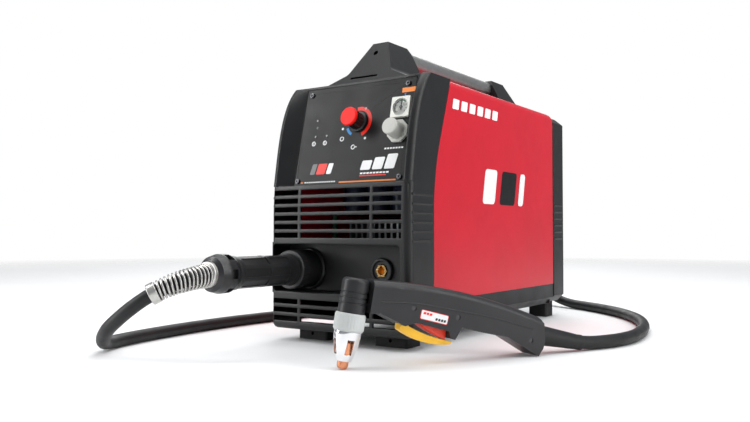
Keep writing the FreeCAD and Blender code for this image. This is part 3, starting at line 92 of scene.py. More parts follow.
class Material:
    """A Principled material whose colour, roughness and bump come from procedural textures."""

    def __init__(self, name, colour, rough=0.5, metallic=0.0, specular=0.5, extra=()):
        self.data = bpy.data.materials.new(name)
        self.data.use_nodes = True
        self.nodes = self.data.node_tree.nodes
        self.links = self.data.node_tree.links
        self.shader = self.nodes["Principled BSDF"]
        self.colour = (*colour, 1)
        self.rough = rough
        self.shader.inputs["Base Color"].default_value = self.colour
        self.shader.inputs["Roughness"].default_value = rough
        self.shader.inputs["Metallic"].default_value = metallic
        self.shader.inputs["Specular IOR Level"].default_value = specular
        for socket, size in extra:
            self.shader.inputs[socket].default_value = size
        self.place = self.add("ShaderNodeTexCoord").outputs["Object"]
        self.height = None

    def add(self, kind, **settings):
        node = self.nodes.new(kind)
        for name, setting in settings.items():
            setattr(node, name, setting)
        return node

    def noise(self, size, detail=3.0, stretch=(1, 1, 1)):
        """Noise whose blobs are about size millimetres across."""
        place = self.add("ShaderNodeMapping")
        place.inputs["Scale"].default_value = stretch
        self.links.new(self.place, place.inputs["Vector"])
        made = self.add("ShaderNodeTexNoise")
        made.inputs["Scale"].default_value = 1000 / size
        made.inputs["Detail"].default_value = detail
        self.links.new(place.outputs["Vector"], made.inputs["Vector"])
        return made.outputs["Fac"]

    def span(self, value, low, high, start=0.3, end=0.7):
        made = self.add("ShaderNodeMapRange")
        for name, size in (("From Min", start), ("From Max", end), ("To Min", low), ("To Max", high)):
            made.inputs[name].default_value = size
        self.links.new(value, made.inputs["Value"])
        return made.outputs["Result"]

    def blend(self, share, first, second):
        made = self.add("ShaderNodeMix", data_type="RGBA")
        self.links.new(share, made.inputs["Factor"])
        for socket, colour in (("A", first), ("B", second)):
            target = next(i for i in made.inputs if i.name == socket and i.type == "RGBA")
            if isinstance(colour, tuple):
                target.default_value = colour
            else:
                self.links.new(colour, target)
        return next(o for o in made.outputs if o.type == "RGBA")

    def mottle(self, size, amount):
        """Soft blotches of a lighter and a darker shade of the colour."""
        darker = tuple(c * (1 - amount) for c in self.colour[:3]) + (1,)
        lighter = tuple(min(1, c * (1 + amount)) for c in self.colour[:3]) + (1,)
        self.paint(self.blend(self.span(self.noise(size), 0, 1), darker, lighter))
        return self

    def paint(self, colour):
        self.links.new(colour, self.shader.inputs["Base Color"])
        self.painted = colour

    def smudge(self, size, amount):
        """Roughness that wanders by an amount, as on handled surfaces."""
        rough = self.span(self.noise(size), self.rough - amount, self.rough + amount)
        self.links.new(rough, self.shader.inputs["Roughness"])
        return self

    def grain(self, size, depth, stretch=(1, 1, 1)):
        """Fine relief, depth in millimetres."""
        bump = self.add("ShaderNodeBump")
        bump.inputs["Strength"].default_value = 1
        bump.inputs["Distance"].default_value = depth / 1000
        self.links.new(self.noise(size, 2.0, stretch), bump.inputs["Height"])
        if self.height is not None:
            self.links.new(self.height, bump.inputs["Normal"])
        self.height = bump.outputs["Normal"]
        self.links.new(self.height, self.shader.inputs["Normal"])
        return self

    def rounded(self, radius):
        """Edges that catch the light as if rounded by a radius in millimetres."""
        soft = self.add("ShaderNodeBevel", samples=6)
        soft.inputs["Radius"].default_value = radius / 1000
        self.height = soft.outputs["Normal"]

    def worn_and_highlit_edges(self, colour, radius=0.8, share=0.6):
        """A lighter line along the edges, partly wear and partly a painted highlight of light caught on rounded
        edges, found by comparing the rounded and the true normal.
        """
        soft = self.add("ShaderNodeBevel", samples=4)
        soft.inputs["Radius"].default_value = radius / 1000
        true = self.add("ShaderNodeNewGeometry")
        dot = self.add("ShaderNodeVectorMath", operation="DOT_PRODUCT")
        self.links.new(soft.outputs["Normal"], dot.inputs[0])
        self.links.new(true.outputs["Normal"], dot.inputs[1])
        edge = self.span(dot.outputs["Value"], 1, 0, 0.75, 0.985)
        broken = self.add("ShaderNodeMath", operation="MULTIPLY")
        self.links.new(edge, broken.inputs[0])
        self.links.new(self.span(self.noise(9), 0.15 * share, share, 0.35, 0.65), broken.inputs[1])
        self.paint(self.blend(broken.outputs["Value"], self.painted, (*colour, 1)))
        return self


def textured_plastic(name, colour, rough, specular=0.35, depth=0.02, round_off=0.0):
    made = Material(name, colour, rough, specular=specular)
    if round_off:
        made.rounded(round_off)
    # the lighter edge colour is partly wear and partly a painted highlight on the edges
    light = tuple(min(1, c * 2.2 + 0.02) for c in colour)
    return made.mottle(45, 0.10).smudge(30, 0.05).grain(0.7, depth).worn_and_highlit_edges(light)


def gloss_plastic(name, colour, rough=0.3, specular=0.5):
    made = Material(name, colour, rough, specular=specular)
    # the lighter edge colour is partly wear and partly a painted highlight on the edges
    light = tuple(min(1, c * 1.15 + 0.02) for c in colour)
    return made.mottle(20, 0.05).smudge(12, 0.04).grain(2.5, 0.006).worn_and_highlit_edges(light, 0.4, 0.4)


def metal(name, colour, rough, stretch=(1, 1, 1), depth=0.004, size=0.6):
    made = Material(name, colour, rough, metallic=1.0)
    return made.mottle(8, 0.06).smudge(5, 0.05).grain(size, depth, stretch)


def coated_steel(name, colour):
    coat = (("Coat Weight", 0.12), ("Coat Roughness", 0.2))
    made = Material(name, colour, 0.38, specular=0.32, extra=coat)
    # a lighter red along the edges: partly chipped paint, partly a painted highlight on the rounded edges
    chipped_and_highlit_red = (0.62, 0.10, 0.10)
    return made.mottle(60, 0.05).smudge(25, 0.03).grain(1.1, 0.010).grain(14, 0.02).worn_and_highlit_edges(chipped_and_highlit_red, 0.5, 0.35)


def soft_rubber(name, colour, rough=0.62, depth=0.02, size=0.9):
    made = Material(name, colour, rough, specular=0.32)
    made.mottle(14, 0.15).smudge(16, 0.07).grain(size, depth)
    return made.grain(6, 0.03)


def printed(name, colour, rough=0.42):
    made = Material(name, colour, rough, specular=0.35)
    return made.mottle(6, 0.04).smudge(8, 0.04).grain(0.6, 0.004)


def clear_plastic():
    glass = (("Transmission Weight", 1.0), ("IOR", 1.46))
    made = Material("clear_lens", (1, 1, 1), 0.04, extra=glass)
    return made.grain(9, 0.003)


CHARCOAL = (0.0072, 0.0072, 0.0078)
materials = {
    "charcoal_plastic": textured_plastic("charcoal_plastic", CHARCOAL, 0.40, 0.42, round_off=2.6),
    "bracket_plastic": textured_plastic("bracket_plastic", (0.009, 0.009, 0.0095), 0.45, 0.32, 0.03),
    "red_paint": coated_steel("red_paint", (0.55, 0.004, 0.018)),
    "tray_paint": textured_plastic("tray_paint", (0.010, 0.010, 0.011), 0.40, 0.35),
    "panel_print": textured_plastic("panel_print", (0.0062, 0.0062, 0.0068), 0.42, 0.22, 0.006),
    "tube_grip": metal("tube_grip", (0.40, 0.40, 0.39), 0.42, (1, 0.05, 1), 0.006, 0.9),
    "foot_rubber": soft_rubber("foot_rubber", (0.012, 0.012, 0.012)),
    "screw_black": metal("screw_black", (0.07, 0.07, 0.075), 0.35),
    "plain_steel": metal("plain_steel", (0.55, 0.55, 0.56), 0.30),
    "lamp_lens": gloss_plastic("lamp_lens", (0.07, 0.07, 0.07), 0.25),
    "knob_black": gloss_plastic("knob_black", (0.010, 0.010, 0.011), 0.28),
    "knob_red": gloss_plastic("knob_red", (0.80, 0.006, 0.002), 0.42, 0.22),
    "gauge_black": gloss_plastic("gauge_black", (0.012, 0.012, 0.013), 0.35),
    "cream_plastic": gloss_plastic("cream_plastic", (0.74, 0.74, 0.68), 0.38),
    "dial_white": printed("dial_white", (0.82, 0.83, 0.78)),
    "gauge_pointer": printed("gauge_pointer", (0.015, 0.015, 0.015)),
    "clear_lens": clear_plastic(),
    "light_grey_plastic": gloss_plastic("light_grey_plastic", (0.50, 0.50, 0.46), 0.42, 0.35),
    "cast_zinc": metal("cast_zinc", (0.45, 0.45, 0.46), 0.45),
    "contact_brass": metal("contact_brass", (0.86, 0.56, 0.22), 0.22),
    "connector_plastic": textured_plastic("connector_plastic", (0.016, 0.016, 0.017), 0.36, 0.5, 0.012),
    "chromed_steel": metal("chromed_steel", (0.80, 0.80, 0.81), 0.12, depth=0.001),
    "spring_steel": metal("spring_steel", (0.50, 0.49, 0.47), 0.34, depth=0.002),
    "ferrule_steel": metal("ferrule_steel", (0.56, 0.55, 0.52), 0.38, (1, 0.12, 1), 0.004),
    "copper": metal("copper", (0.72, 0.30, 0.16), 0.26),
    "torch_grey": textured_plastic("torch_grey", (0.021, 0.021, 0.0225), 0.38, 0.34, 0.012),
    "cup_grey": textured_plastic("cup_grey", (0.52, 0.54, 0.53), 0.62, 0.3, 0.05),
    "trigger_red": gloss_plastic("trigger_red", (0.85, 0.045, 0.012), 0.36),
    "lever_yellow": gloss_plastic("lever_yellow", (0.95, 0.52, 0.018), 0.36),
    "rubber_black": soft_rubber("rubber_black", (0.010, 0.010, 0.0105), 0.5),
    "board_green": printed("board_green", (0.01, 0.09, 0.03), 0.3),
    "zinc_plate": metal("zinc_plate", (0.42, 0.43, 0.42), 0.5),
    "heatsink_alu": metal("heatsink_alu", (0.45, 0.46, 0.47), 0.4),
    "winding": printed("winding", (0.18, 0.09, 0.03), 0.35),
    "capacitor_sleeve": gloss_plastic("capacitor_sleeve", (0.02, 0.03, 0.07), 0.3),
    "fan_black": textured_plastic("fan_black", (0.012, 0.012, 0.012), 0.5),
    "switch_black": gloss_plastic("switch_black", (0.01, 0.01, 0.01), 0.25),
    "print_red": printed("print_red", (0.80, 0.018, 0.008), 0.38),
    "print_blue": printed("print_blue", (0.01, 0.22, 0.55)),
    "print_orange": printed("print_orange", (0.86, 0.24, 0.035)),
    "print_white": printed("print_white", (0.82, 0.82, 0.82)),
    "print_green": printed("print_green", (0.01, 0.16, 0.07)),
    "print_grey": printed("print_grey", (0.16, 0.16, 0.16)),
    "strap_black": soft_rubber("strap_black", (0.02, 0.02, 0.022), 0.85, 0.06, 0.5),
}


# ---- new pieces ----------------------------------------------------------------------------------


def scaled(points):
    return [Vector(p) / 1000 for p in points]


def finish_piece(piece, material, body=UNIT):
    """Gives a new piece its material and its body."""
    piece.data.materials.append(materials[material].data)
    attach(piece, body)
    return piece


def mesh_piece(name, bm, place=None):
    mesh = bpy.data.meshes.new(name)
    if place is not None:
        bm.transform(place)
    bmesh.ops.recalc_face_normals(bm, faces=bm.faces)
    bm.to_mesh(mesh)
    bm.free()
    mesh.polygons.foreach_set("use_smooth", [True] * len(mesh.polygons))
    mesh.set_sharp_from_angle(angle=math.radians(35))
    piece = bpy.data.objects.new(name, mesh)
    bpy.context.scene.collection.objects.link(piece)
    return piece


def plates(name, outlines, thick, place):
    """Flat prisms, each from a closed outline in millimetres, that stand on the place's XY plane."""
    bm = bmesh.new()
    for outline in outlines:
        low = [bm.verts.new(Vector((x, y, 0)) / 1000) for x, y in outline]
        high = [bm.verts.new(Vector((x, y, thick)) / 1000) for x, y in outline]
        bm.faces.new(low)
        bm.faces.new(high)
        for i in range(len(low)):
            j = (i + 1) % len(low)
            bm.faces.new((low[i], low[j], high[j], high[i]))
    return mesh_piece(name, bm, place)


LATHE_FACETS = 64


def lathe(name, profile, place):
    """A profile of (radius, height) millimetres turned about the place's Z axis, as a closed ring."""
    bm = bmesh.new()
    rings = []
    for i in range(LATHE_FACETS):
        angle = 2 * math.pi * i / LATHE_FACETS
        c, s = math.cos(angle), math.sin(angle)
        rings.append([bm.verts.new(Vector((r * c, r * s, z)) / 1000) for r, z in profile])
    for i in range(LATHE_FACETS):
        a, b = rings[i], rings[(i + 1) % LATHE_FACETS]
        for k in range(len(profile)):
            m = (k + 1) % len(profile)
            bm.faces.new((a[k], b[k], b[m], a[m]))
    bmesh.ops.remove_doubles(bm, verts=bm.verts, dist=1e-7)
    return mesh_piece(name, bm, place)


def arc_band(x, y, inner, outer, start, end, steps=24):
    """The outline of a curved band about a centre, angles in degrees."""
    angles = [math.radians(start + (end - start) * i / steps) for i in range(steps + 1)]
    edge = [(x + outer * math.cos(a), y + outer * math.sin(a)) for a in angles]
    return edge + [(x + inner * math.cos(a), y + inner * math.sin(a)) for a in reversed(angles)]


def disc(x, y, radius, steps=20):
    spots = [2 * math.pi * i / steps for i in range(steps)]
    return [(x + radius * math.cos(a), y + radius * math.sin(a)) for a in spots]


def soft_rectangle(x, y, across, up, corner, slant=0.0, steps=5):
    """A rectangle about a centre with rounded corners, slanted by a share of its height."""
    outline = []
    for cx, cy, start in ((1, 1, 0), (-1, 1, 90), (-1, -1, 180), (1, -1, 270)):
        for i in range(steps + 1):
            a = math.radians(start + 90 * i / steps)
            px = cx * (across / 2 - corner) + corner * math.cos(a)
            py = cy * (up / 2 - corner) + corner * math.sin(a)
            outline.append((x + px + slant * py, y + py))
    return outline


def bar(x1, y1, x2, y2, width):
    """The outline of a straight stroke."""
    along = Vector((x2 - x1, y2 - y1)).normalized() * width / 2
    side = Vector((-along.y, along.x))
    return [
        (x1 + side.x, y1 + side.y),
        (x1 - side.x, y1 - side.y),
        (x2 - side.x, y2 - side.y),
        (x2 + side.x, y2 + side.y),
    ]


def tube_curve(name, points, radius):
    """A round NURBS tube; points are in metres."""
    data = bpy.data.curves.new(name, "CURVE")
    data.dimensions = "3D"
    data.bevel_depth = radius / 1000
    data.bevel_resolution = 6
    data.resolution_u = 8
    data.use_fill_caps = True
    spline = data.splines.new("NURBS")
    spline.points.add(len(points) - 1)
    for spot, point in zip(spline.points, points):
        spot.co = (*point, 1)
    spline.order_u = 3
    spline.use_endpoint_u = True
    piece = bpy.data.objects.new(name, data)
    bpy.context.scene.collection.objects.link(piece)
    return piece


# ---- the torch's lead ----------------------------------------------------------------------------

LEAD_RADIUS = 7.25
# metres: about 0.94 to the coil, 3.81 in it and 0.71 from it to the torch
FRONT_ROUTE = [
    (-64, -344, 84.0),
    (-64, -366, 82.6),
    (-67.5, -384, 79.6),
    (-75.6, -400, 74.5),
    (-88, -413, 65.5),
    (-103.5, -421, 54.0),
    (-121, -424.5, 41.5),
    (-139.5, -423.5, 30.0),
    (-157.5, -416, 19.5),
    (-173.5, -404.5, 11.0),
    (-187, -388, 7.4),
    (-197.5, -362, 7.3),
    (-206, -325, 7.3),
    (-213.5, -280, 7.3),
    (-219.5, -225, 7.3),
    (-221.5, -165, 7.3),
    (-218, -105, 7.3),
    (-210, -50, 7.3),
    (-204, 5, 7.3),
    (-202.5, 60, 7.3),
    (-205.5, 115, 7.3),
    (-211, 170, 7.3),
    (-215.5, 225, 7.3),
    (-217, 282, 7.3),
]
COIL_CENTRE = (-127, 338)
COIL_COLUMNS = (75.25, 89.75)
COIL_FLOOR = 7.3
COIL_LAYER = 14.4
# each strand of the coil: its column, its layer, and the turned angle at which it starts to shift to the next
COIL_STRANDS = (
    (1, 0, 320),
    (0, 0, 640),
    (0, 1, 960),
    (1, 1, 1280),
    (1, 2, 1600),
    (0, 2, 1920),
    (0, 3, 2260),
    (1, 3, 2640),
)
COIL_SHIFT = 40
COIL_STEP = 20
COIL_TURNED = 2620
# how far a turn strays from round, in millimetres, and how fast that comes and goes
COIL_STRAY = 0.7
COIL_STRAY_RATE = 1.37
REAR_ROUTE = [
    (-53, 399, 49.0),
    (-22, 383, 40.0),
    (8, 367, 26.0),
    (37, 350, 14.0),
    (67, 332, 7.8),
    (100, 311, 7.3),
    (137, 282, 7.3),
    (173, 246, 7.3),
    (206, 202, 7.3),
    (232, 152, 7.3),
    (251, 98, 7.3),
    (263, 43, 7.3),
    (267.5, -3, 7.3),
    (265, -38, 7.3),
    (257, -66, 7.3),
]


def coil_place(turned):
    """Where the lead is after turning by an angle round the coil, clockwise from its left-hand side."""
    radius, up = COIL_COLUMNS[COIL_STRANDS[0][0]], COIL_FLOOR
    for before, after in zip(COIL_STRANDS, COIL_STRANDS[1:]):
        share = min(1, max(0, (turned - before[2]) / COIL_SHIFT))
        share = share * share * (3 - 2 * share)
        radius += (COIL_COLUMNS[after[0]] - COIL_COLUMNS[before[0]]) * share
        up += (after[1] - before[1]) * COIL_LAYER * share
    radius += COIL_STRAY * math.sin(math.radians(turned * COIL_STRAY_RATE))
    # a quadratic spline runs inside its control points by this much
    reach = radius / math.cos(math.radians(COIL_STEP / 2))
    angle = math.radians(180 - turned)
    return (COIL_CENTRE[0] + reach * math.cos(angle), COIL_CENTRE[1] + reach * math.sin(angle), up)


TRIGGER_BACK = 79
TRIGGER_UP = 45


def torch_matrix():
    """The torch's own frame: X runs back from the nozzle's tip, Y to its left, Z up."""
    y = -joint_axis("trigger_squeeze")
    x = y.cross(Vector((0, 0, 1)))
    origin = joint_point("trigger_squeeze") - x * TRIGGER_BACK / 1000 - mm(0, 0, TRIGGER_UP)
    rows = Matrix((x, y, Vector((0, 0, 1)))).transposed().to_4x4()
    return Matrix.Translation(origin) @ rows


TORCH = torch_matrix()
BOOT_BACK = 216
BOOT_UP = 20.6
BOOT_DROP = math.radians(11.6)
BOOT_REACHES = (65, 42)


def boot_axis(distance):
    """A point on the line through the torch's boot."""
    back = BOOT_BACK + distance * math.cos(BOOT_DROP)
    return TORCH @ mm(back, 0, BOOT_UP - distance * math.sin(BOOT_DROP))


def make_lead():
    coil = [coil_place(turned) for turned in range(0, COIL_TURNED + 1, COIL_STEP)]
    points = scaled(FRONT_ROUTE + coil + REAR_ROUTE) + [boot_axis(reach) for reach in BOOT_REACHES]
    lead = tube_curve("torch_lead", points, LEAD_RADIUS)
    return finish_piece(lead, "rubber_black")


def centreline(curve):
    """Points along a curve's own smooth line, in metres."""
    bare = curve.copy()
    bare.data = curve.data.copy()
    bare.data.bevel_depth = 0
    bare.parent = None
    bpy.context.scene.collection.objects.link(bare)
    bpy.context.view_layer.update()
    mesh = bpy.data.meshes.new_from_object(bare.evaluated_get(bpy.context.evaluated_depsgraph_get()))
    line = [v.co.copy() for v in mesh.vertices]
    bpy.data.objects.remove(bare)
    return line


def walked(line):
    """The distance from the line's start to each of its points, in millimetres."""
    out = [0.0]
    for a, b in zip(line, line[1:]):
        out.append(out[-1] + (b - a).length * 1000)
    return out


def along_line(line, distances, at):
    """The point and the direction at a distance along a line."""
    i = max(1, next((k for k, d in enumerate(distances) if d >= at), len(line) - 1))
    share = (at - distances[i - 1]) / (distances[i] - distances[i - 1])
    return line[i - 1].lerp(line[i], share), (line[i] - line[i - 1]).normalized()


lead = make_lead()
LEAD_LINE = centreline(lead)
LEAD_WALK = walked(LEAD_LINE)
SPRING_START, SPRING_END, SPRING_TURNS = 17.0, 70.0, 14
SPRING_STEPS = 16
SPRING_REACH = 11.6
SPRING_TAPER = 2.0
SPRING_WIRE = 1.25


def make_spring():
    """The wound strain relief: steel wire round the lead, closing in towards its end band."""
    points = []
    steps = SPRING_TURNS * SPRING_STEPS
    for i in range(steps + 1):
        share = i / steps
        spot, aim = along_line(LEAD_LINE, LEAD_WALK, SPRING_START + (SPRING_END - SPRING_START) * share)
        side = aim.cross(Vector((0, 0, 1))).normalized()
        up = side.cross(aim)
        angle = 2 * math.pi * SPRING_TURNS * share
        reach = (SPRING_REACH - SPRING_TAPER * share) / 1000
        points.append(spot + side * math.cos(angle) * reach + up * math.sin(angle) * reach)
    spring = tube_curve("wound_spring", points, SPRING_WIRE)
    spring.data.bevel_resolution = 4
    spring.data.resolution_u = 3
    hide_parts("strain_relief_spring")
    return finish_piece(spring, "spring_steel")


def turn_to(spot, aim):
    """A place whose Z axis points along aim."""
    return Matrix.Translation(spot) @ aim.to_track_quat("Z", "Y").to_matrix().to_4x4()


def make_spring_band():
    spot, aim = along_line(LEAD_LINE, LEAD_WALK, SPRING_END + 0.5)
    profile = [(7.6, 0), (10.4, 0), (10.9, 0.5), (10.9, 8.0), (10.4, 8.6), (7.6, 8.6)]
    band = lathe("spring_end_band", profile, turn_to(spot, aim))
    return finish_piece(band, "ferrule_steel")


spring = make_spring()
spring_band = make_spring_band()
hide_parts("lead_front", "lead_rear", "lead_coil")


STRAP_GAP = 0.35
STRAP_THICK = 1.2
STRAP_RISE = 1.6
STRAP_HALF_WIDTH = 9
STRAP_LIFT = 0.9
STRAP_ANGLES = (35, 155, 275)


def strap(name, turned):
    """A hook-and-loop tie round the coil's cross-section."""
    angle = math.radians(turned)
    out = Vector((math.cos(angle), math.sin(angle), 0))
    centre = mm(*COIL_CENTRE, 0) + out * sum(COIL_COLUMNS) / 2000
    centre.z = (COIL_FLOOR + 1.5 * COIL_LAYER + STRAP_LIFT) / 1000
    rows = Matrix((out, Vector((0, 0, 1)), out.cross(Vector((0, 0, 1))))).transposed().to_4x4()
    across = COIL_COLUMNS[1] - COIL_COLUMNS[0] + 2 * LEAD_RADIUS + 2 * STRAP_GAP
    up = 3 * COIL_LAYER + 2 * LEAD_RADIUS
    outer = soft_rectangle(0, 0, across + 2 * STRAP_THICK, up + STRAP_RISE, LEAD_RADIUS + STRAP_THICK, steps=8)
    inner = soft_rectangle(0, 0, across, up, LEAD_RADIUS, steps=8)
    bm = bmesh.new()
    rings = []
    low, high = -STRAP_HALF_WIDTH, STRAP_HALF_WIDTH
    for outline, level in ((outer, low), (outer, high), (inner, high), (inner, low)):
        rings.append([bm.verts.new(Vector((x, y, level)) / 1000) for x, y in outline])
    count = len(outer)
    for k in range(4):
        a, b = rings[k], rings[(k + 1) % 4]
        for i in range(count):
            j = (i + 1) % count
            bm.faces.new((a[i], a[j], b[j], b[i]))
    tie = mesh_piece(name, bm, Matrix.Translation(centre) @ rows)
    return finish_piece(tie, "strap_black")


for index, turned in enumerate(STRAP_ANGLES):
    strap(f"coil_strap_{index}", turned)


# ---- printed marks and small trim ----------------------------------------------------------------


PANEL_LEAN = math.radians(12.95)
PANEL_FACE = Matrix.Translation(mm(0, -214.7, 182)) @ Matrix.Rotation(math.pi / 2 - PANEL_LEAN, 4, "X")
PRINT_THICK = 0.16
KNOB_AT = (10.4, 74.5)
GAUGE_AT = (68.0, 86.5)
GAUGE_FLOOR = 1.2


def dashes(start, end, y, height, length, gap, slant=0.2):
    """A row of short slanted strokes."""
    count = int((end - start + gap) / (length + gap))
    return [
        soft_rectangle(start + length / 2 + i * (length + gap), y, length, height, height * 0.2, slant)
        for i in range(count)
    ]


def mark(name, material, outlines, place=PANEL_FACE, level=0.0):
    """A thin printed film that lies on a surface."""
    piece = plates(name, outlines, PRINT_THICK, place @ Matrix.Translation(mm(0, 0, level)))
    return finish_piece(piece, material)


def make_panel_prints():
    x, y = KNOB_AT
    mark("print_current_scale_high", "print_red", [arc_band(x, y, 14.2, 18.6, 103, -68)])
    mark("print_current_scale_low", "print_blue", [arc_band(x, y, 14.6, 17.8, 204, 240)])
    dots = [disc(18.2, 90.4, 1.5), disc(22.6, 54.1, 1.5), disc(-11.1, 67.8, 1.5)]
    signs = [arc_band(sx, sy, 1.9, 2.9, 60, 400) for sx, sy in ((7.2, 44.4), (-51.8, 52.2), (-35.1, 52.3))]
    signs += [arc_band(-10.4, 55.4, 1.9, 2.9, 100, 440), bar(8.9, 44.4, 12.4, 44.4, 1.1)]
    signs += [bar(-51.8, 50.9, -51.8, 53.5, 0.9), bar(-35.1, 50.9, -35.1, 53.5, 0.9)]
    mark("print_scale_signs", "print_white", dots + signs)
    mark("print_pressure_row", "print_white", dashes(51.5, 79, 39.6, 1.8, 2.6, 1.1))
    mark("print_pressure_pointer", "print_blue", [[(69.2, 103.6), (71.6, 103.6), (70.4, 99.6)]])
    mark("print_corner_label", "print_orange", [soft_rectangle(74.4, 107.4, 17.4, 5.6, 0.6)])
    mark("print_rule", "print_orange", [bar(-6, 2.9, 71.5, 2.9, 1.7), bar(-62.6, 4.0, -59.4, 4.0, 1.5)])
    mark("print_rule_row", "print_white", dashes(-57, -9, 4.1, 1.5, 2.4, 0.9))
    mark("print_level_marks", "print_white", level_blocks(22, 16.0, (11, 14, 17)))
    mark("print_level_row", "print_white", dashes(22.5, 62, 12.1, 1.9, 3.4, 1.0))
    mark("print_level_rule", "print_red", [bar(22.0, 9.2, 58, 9.2, 1.3)])
    mark("print_bars_grey", "print_grey", [soft_rectangle(-46, 20, 7, 13, 1.4, 0.22)])
    mark("print_bars_red", "print_red", [soft_rectangle(-34, 20, 13, 13, 1.4, 0.22)])
    mark("print_bars_white", "print_white", [soft_rectangle(-22, 20, 7, 13, 1.4, 0.22)])


def level_blocks(start, floor, heights):
    """Slanted blocks that grow, like a power level."""
    return [
        soft_rectangle(start + 7.5 + i * 16.5, floor + height / 2, 13.5, height, 1.6, 0.22)
        for i, height in enumerate(heights)
    ]


def make_gauge_dial():
    place = PANEL_FACE @ Matrix.Translation(mm(*GAUGE_AT, GAUGE_FLOOR))
    mark("gauge_dial", "dial_white", [disc(0, 0, 9.8, 48)], place)
    level = PRINT_THICK
    black = [arc_band(0, 0, 7.9, 8.7, 225, 112)]
    for i in range(9):
        a = math.radians(225 - 270 * i / 8)
        black.append(bar(6.2 * math.cos(a), 6.2 * math.sin(a), 7.6 * math.cos(a), 7.6 * math.sin(a), 0.5))
    mark("gauge_scale", "gauge_pointer", black, place, level)
    green = [arc_band(0, 0, 7.7, 8.9, 110, 58)]
    mark("gauge_green_band", "print_green", green, place, level)


SIDE_FACE = Matrix(((0, 0, 1, 0.098), (1, 0, 0, 0), (0, 1, 0, 0), (0, 0, 0, 1)))
OTHER_SIDE_FACE = Matrix(((0, 0, -1, -0.098), (-1, 0, 0, 0), (0, 1, 0, 0), (0, 0, 0, 1)))


SIDE_BARS_UP = 185
SIDE_BAR_HEIGHT = 44


def make_side_marks():
    for name, place, turn in (("right", SIDE_FACE, 1), ("left", OTHER_SIDE_FACE, -1)):
        first = -125 if turn > 0 else 18
        row = [soft_rectangle(first + i * 21, 277, 15, 12, 1.6, 0.22) for i in range(6)]
        mark(f"side_row_{name}", "print_white", row, place)
        centre = 15 * turn
        white = [
            soft_rectangle(centre + shift, SIDE_BARS_UP, across, SIDE_BAR_HEIGHT, 5, 0.22)
            for shift, across in ((-50, 34), (48, 16))
        ]
        mark(f"side_bars_{name}", "print_white", white, place)
        dark = [soft_rectangle(centre + 5, SIDE_BARS_UP, 46, SIDE_BAR_HEIGHT, 5, 0.22)]
        mark(f"side_dark_bar_{name}", "panel_print", dark, place)


TORCH_HALF = 14.5
LABEL_TURN = math.radians(-14.7)


def make_torch_label():
    facing = Matrix(((1, 0, 0, 0), (0, 0, -1, -TORCH_HALF / 1000), (0, 1, 0, 0), (0, 0, 0, 1)))
    place = TORCH @ facing @ Matrix.Translation(mm(89.7, 45.6, 0)) @ Matrix.Rotation(LABEL_TURN, 4, "Z")
    level = PRINT_THICK
    mark("torch_label_border", "print_red", [soft_rectangle(0, 0, 30.5, 9.4, 1.6)], place)
    mark("torch_label", "print_white", [soft_rectangle(0, 0, 29.3, 8.2, 1.2)], place, level)
    stripes = dashes(-12.5, -2, 1.6, 2.2, 2.6, 0.8)
    mark("torch_label_stripes", "print_red", stripes, place, 2 * level)
    strokes = dashes(1.5, 13, -1.6, 2.4, 2.2, 0.9)
    mark("torch_label_strokes", "gauge_pointer", strokes, place, 2 * level)


RIDGE = ((34, 62), (54, 61), (76, 59), (106, 52.5), (134, 47), (161, 41), (182, 35), (204, 28))


def make_torch_ridges():
    """The moulded line along each side of the torch's handle."""
    for name, side in (("near", -1), ("far", 1)):
        points = [TORCH @ mm(a, side * (TORCH_HALF - 0.15), up) for a, up in RIDGE]
        ridge = tube_curve(f"torch_ridge_{name}", points, 0.75)
        finish_piece(ridge, "torch_grey")


make_torch_ridges()
make_panel_prints()
make_gauge_dial()
make_side_marks()
make_torch_label()


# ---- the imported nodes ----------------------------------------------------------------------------

NODE_MATERIALS = {
    "gauge_case": "cream_plastic",
    "retaining_cup": "cup_grey",
    "lead_ferrule": "ferrule_steel",
    "handle_tube": "tube_grip",
    "torch_screws": "screw_black",
}
# millimetres that the edges of the larger pieces are broken by
EDGES = {
    "front_bezel": 0.7,
    "rear_cover": 0.7,
    "wraparound_cover": 0.4,
    "base_tray": 0.5,
    "control_panel": 0.25,
    "handle_front_bracket": 1.3,
    "handle_rear_bracket": 1.3,
    "feet": 0.8,
    "torch_handle_left": 0.6,
    "torch_handle_right": 0.6,
    "torch_trigger": 0.7,
    "safety_lever": 1.1,
    "connector_body": 0.5,
    "connector_collar": 0.5,
    "mains_switch": 0.4,
    "mains_rocker": 0.5,
    "gauge_case": 0.4,
}
SMALL_EDGE = 0.2
# nodes that are round all over, or too fine to bevel
ROUND_NODES = ("lead_front", "lead_rear", "lead_coil", "strain_relief_spring", "air_hoses")


def dress_node(name, piece):
    """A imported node's material and its broken edges. Its vertices stay as they are."""
    slot = next(s["material_slot"] for s in frame["record"]["subparts"] if s["node"] == name)
    material = materials[NODE_MATERIALS.get(name, slot)]
    piece.data.materials.clear()
    piece.data.materials.append(material.data)
    if name in ROUND_NODES:
        return
    piece.data.polygons.foreach_set("use_smooth", [True] * len(piece.data.polygons))
    weld = piece.modifiers.new("weld", "WELD")
    weld.merge_threshold = 1e-6
    edge = piece.modifiers.new("edge", "BEVEL")
    edge.width = EDGES.get(name, SMALL_EDGE) / 1000
    edge.segments = 2
    edge.limit_method = "ANGLE"
    edge.angle_limit = math.radians(32)
    edge.use_clamp_overlap = True
    soft = piece.modifiers.new("soft", "WEIGHTED_NORMAL")
    soft.keep_sharp = True


for node_name, node_piece in frame["nodes"].items():
    dress_node(node_name, node_piece)


# ---- stage and light -----------------------------------------------------------------------------


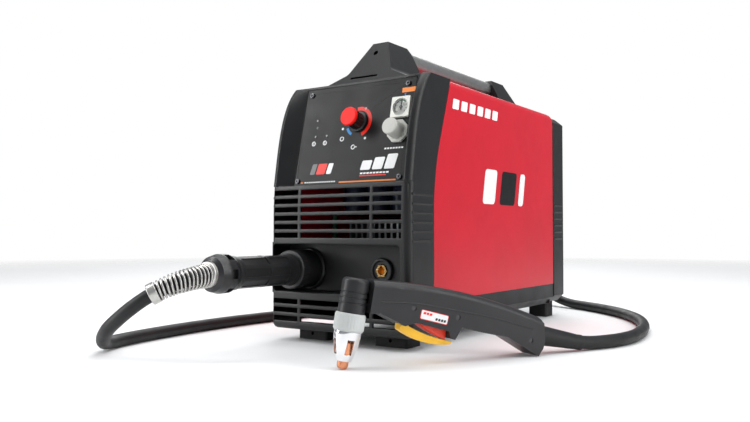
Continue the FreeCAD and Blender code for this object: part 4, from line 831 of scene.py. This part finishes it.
def make_floor():
    bm = bmesh.new()
    bmesh.ops.create_circle(bm, cap_ends=True, segments=64, radius=6)
    floor = mesh_piece("floor", bm)
    floor.location.z = -0.0002
    made = Material("floor", (0.86, 0.86, 0.865), 0.65, specular=0.2)
    made.mottle(400, 0.01)
    far = made.add("ShaderNodeVectorMath", operation="LENGTH")
    made.links.new(made.place, far.inputs[0])
    clear = made.add("ShaderNodeBsdfTransparent")
    mix = made.add("ShaderNodeMixShader")
    made.links.new(made.span(far.outputs["Value"], 0, 1, 1.2, 3.0), mix.inputs[0])
    made.links.new(made.shader.outputs["BSDF"], mix.inputs[1])
    made.links.new(clear.outputs["BSDF"], mix.inputs[2])
    made.links.new(mix.outputs["Shader"], made.nodes["Material Output"].inputs["Surface"])
    floor.data.materials.append(made.data)


def softbox(name, at, size, power, aim=(0, 0, 0.15)):
    data = bpy.data.lights.new(name, "AREA")
    data.shape = "RECTANGLE"
    data.size, data.size_y = size
    data.energy = power
    lamp = bpy.data.objects.new(name, data)
    lamp.location = at
    lamp.rotation_euler = (Vector(aim) - Vector(at)).to_track_quat("-Z", "Y").to_euler()
    bpy.context.scene.collection.objects.link(lamp)


def make_light():
    """A white room for the camera, a dimmer one for what the surfaces reflect, and softboxes."""
    scene = bpy.context.scene
    scene.world = bpy.data.worlds.new("studio")
    scene.world.use_nodes = True
    nodes, links = scene.world.node_tree.nodes, scene.world.node_tree.links
    fill = nodes["Background"]
    fill.inputs["Color"].default_value = (0.9, 0.95, 1, 1)
    fill.inputs["Strength"].default_value = 0.34
    white = nodes.new("ShaderNodeBackground")
    white.inputs["Color"].default_value = (1, 1, 1, 1)
    white.inputs["Strength"].default_value = 1.0
    path = nodes.new("ShaderNodeLightPath")
    mix = nodes.new("ShaderNodeMixShader")
    links.new(path.outputs["Is Camera Ray"], mix.inputs[0])
    links.new(fill.outputs["Background"], mix.inputs[1])
    links.new(white.outputs["Background"], mix.inputs[2])
    links.new(mix.outputs["Shader"], nodes["World Output"].inputs["Surface"])
    softbox("overhead", (0.1, 0.1, 2.0), (2.2, 2.2), 36)
    softbox("right_side", (1.9, -0.3, 1.1), (1.0, 1.8), 15)
    softbox("left_front", (-1.5, -1.6, 1.0), (0.5, 1.8), 14)
    softbox("left_strip", (-0.9, -0.9, 0.7), (0.10, 1.8), 9)
    softbox("right_strip", (1.15, 0.05, 0.6), (0.10, 1.6), 5)
    softbox("back_left", (-1.2, 1.7, 1.2), (1.4, 1.4), 16)
    scene.view_settings.view_transform = "Standard"


make_floor()
make_light()
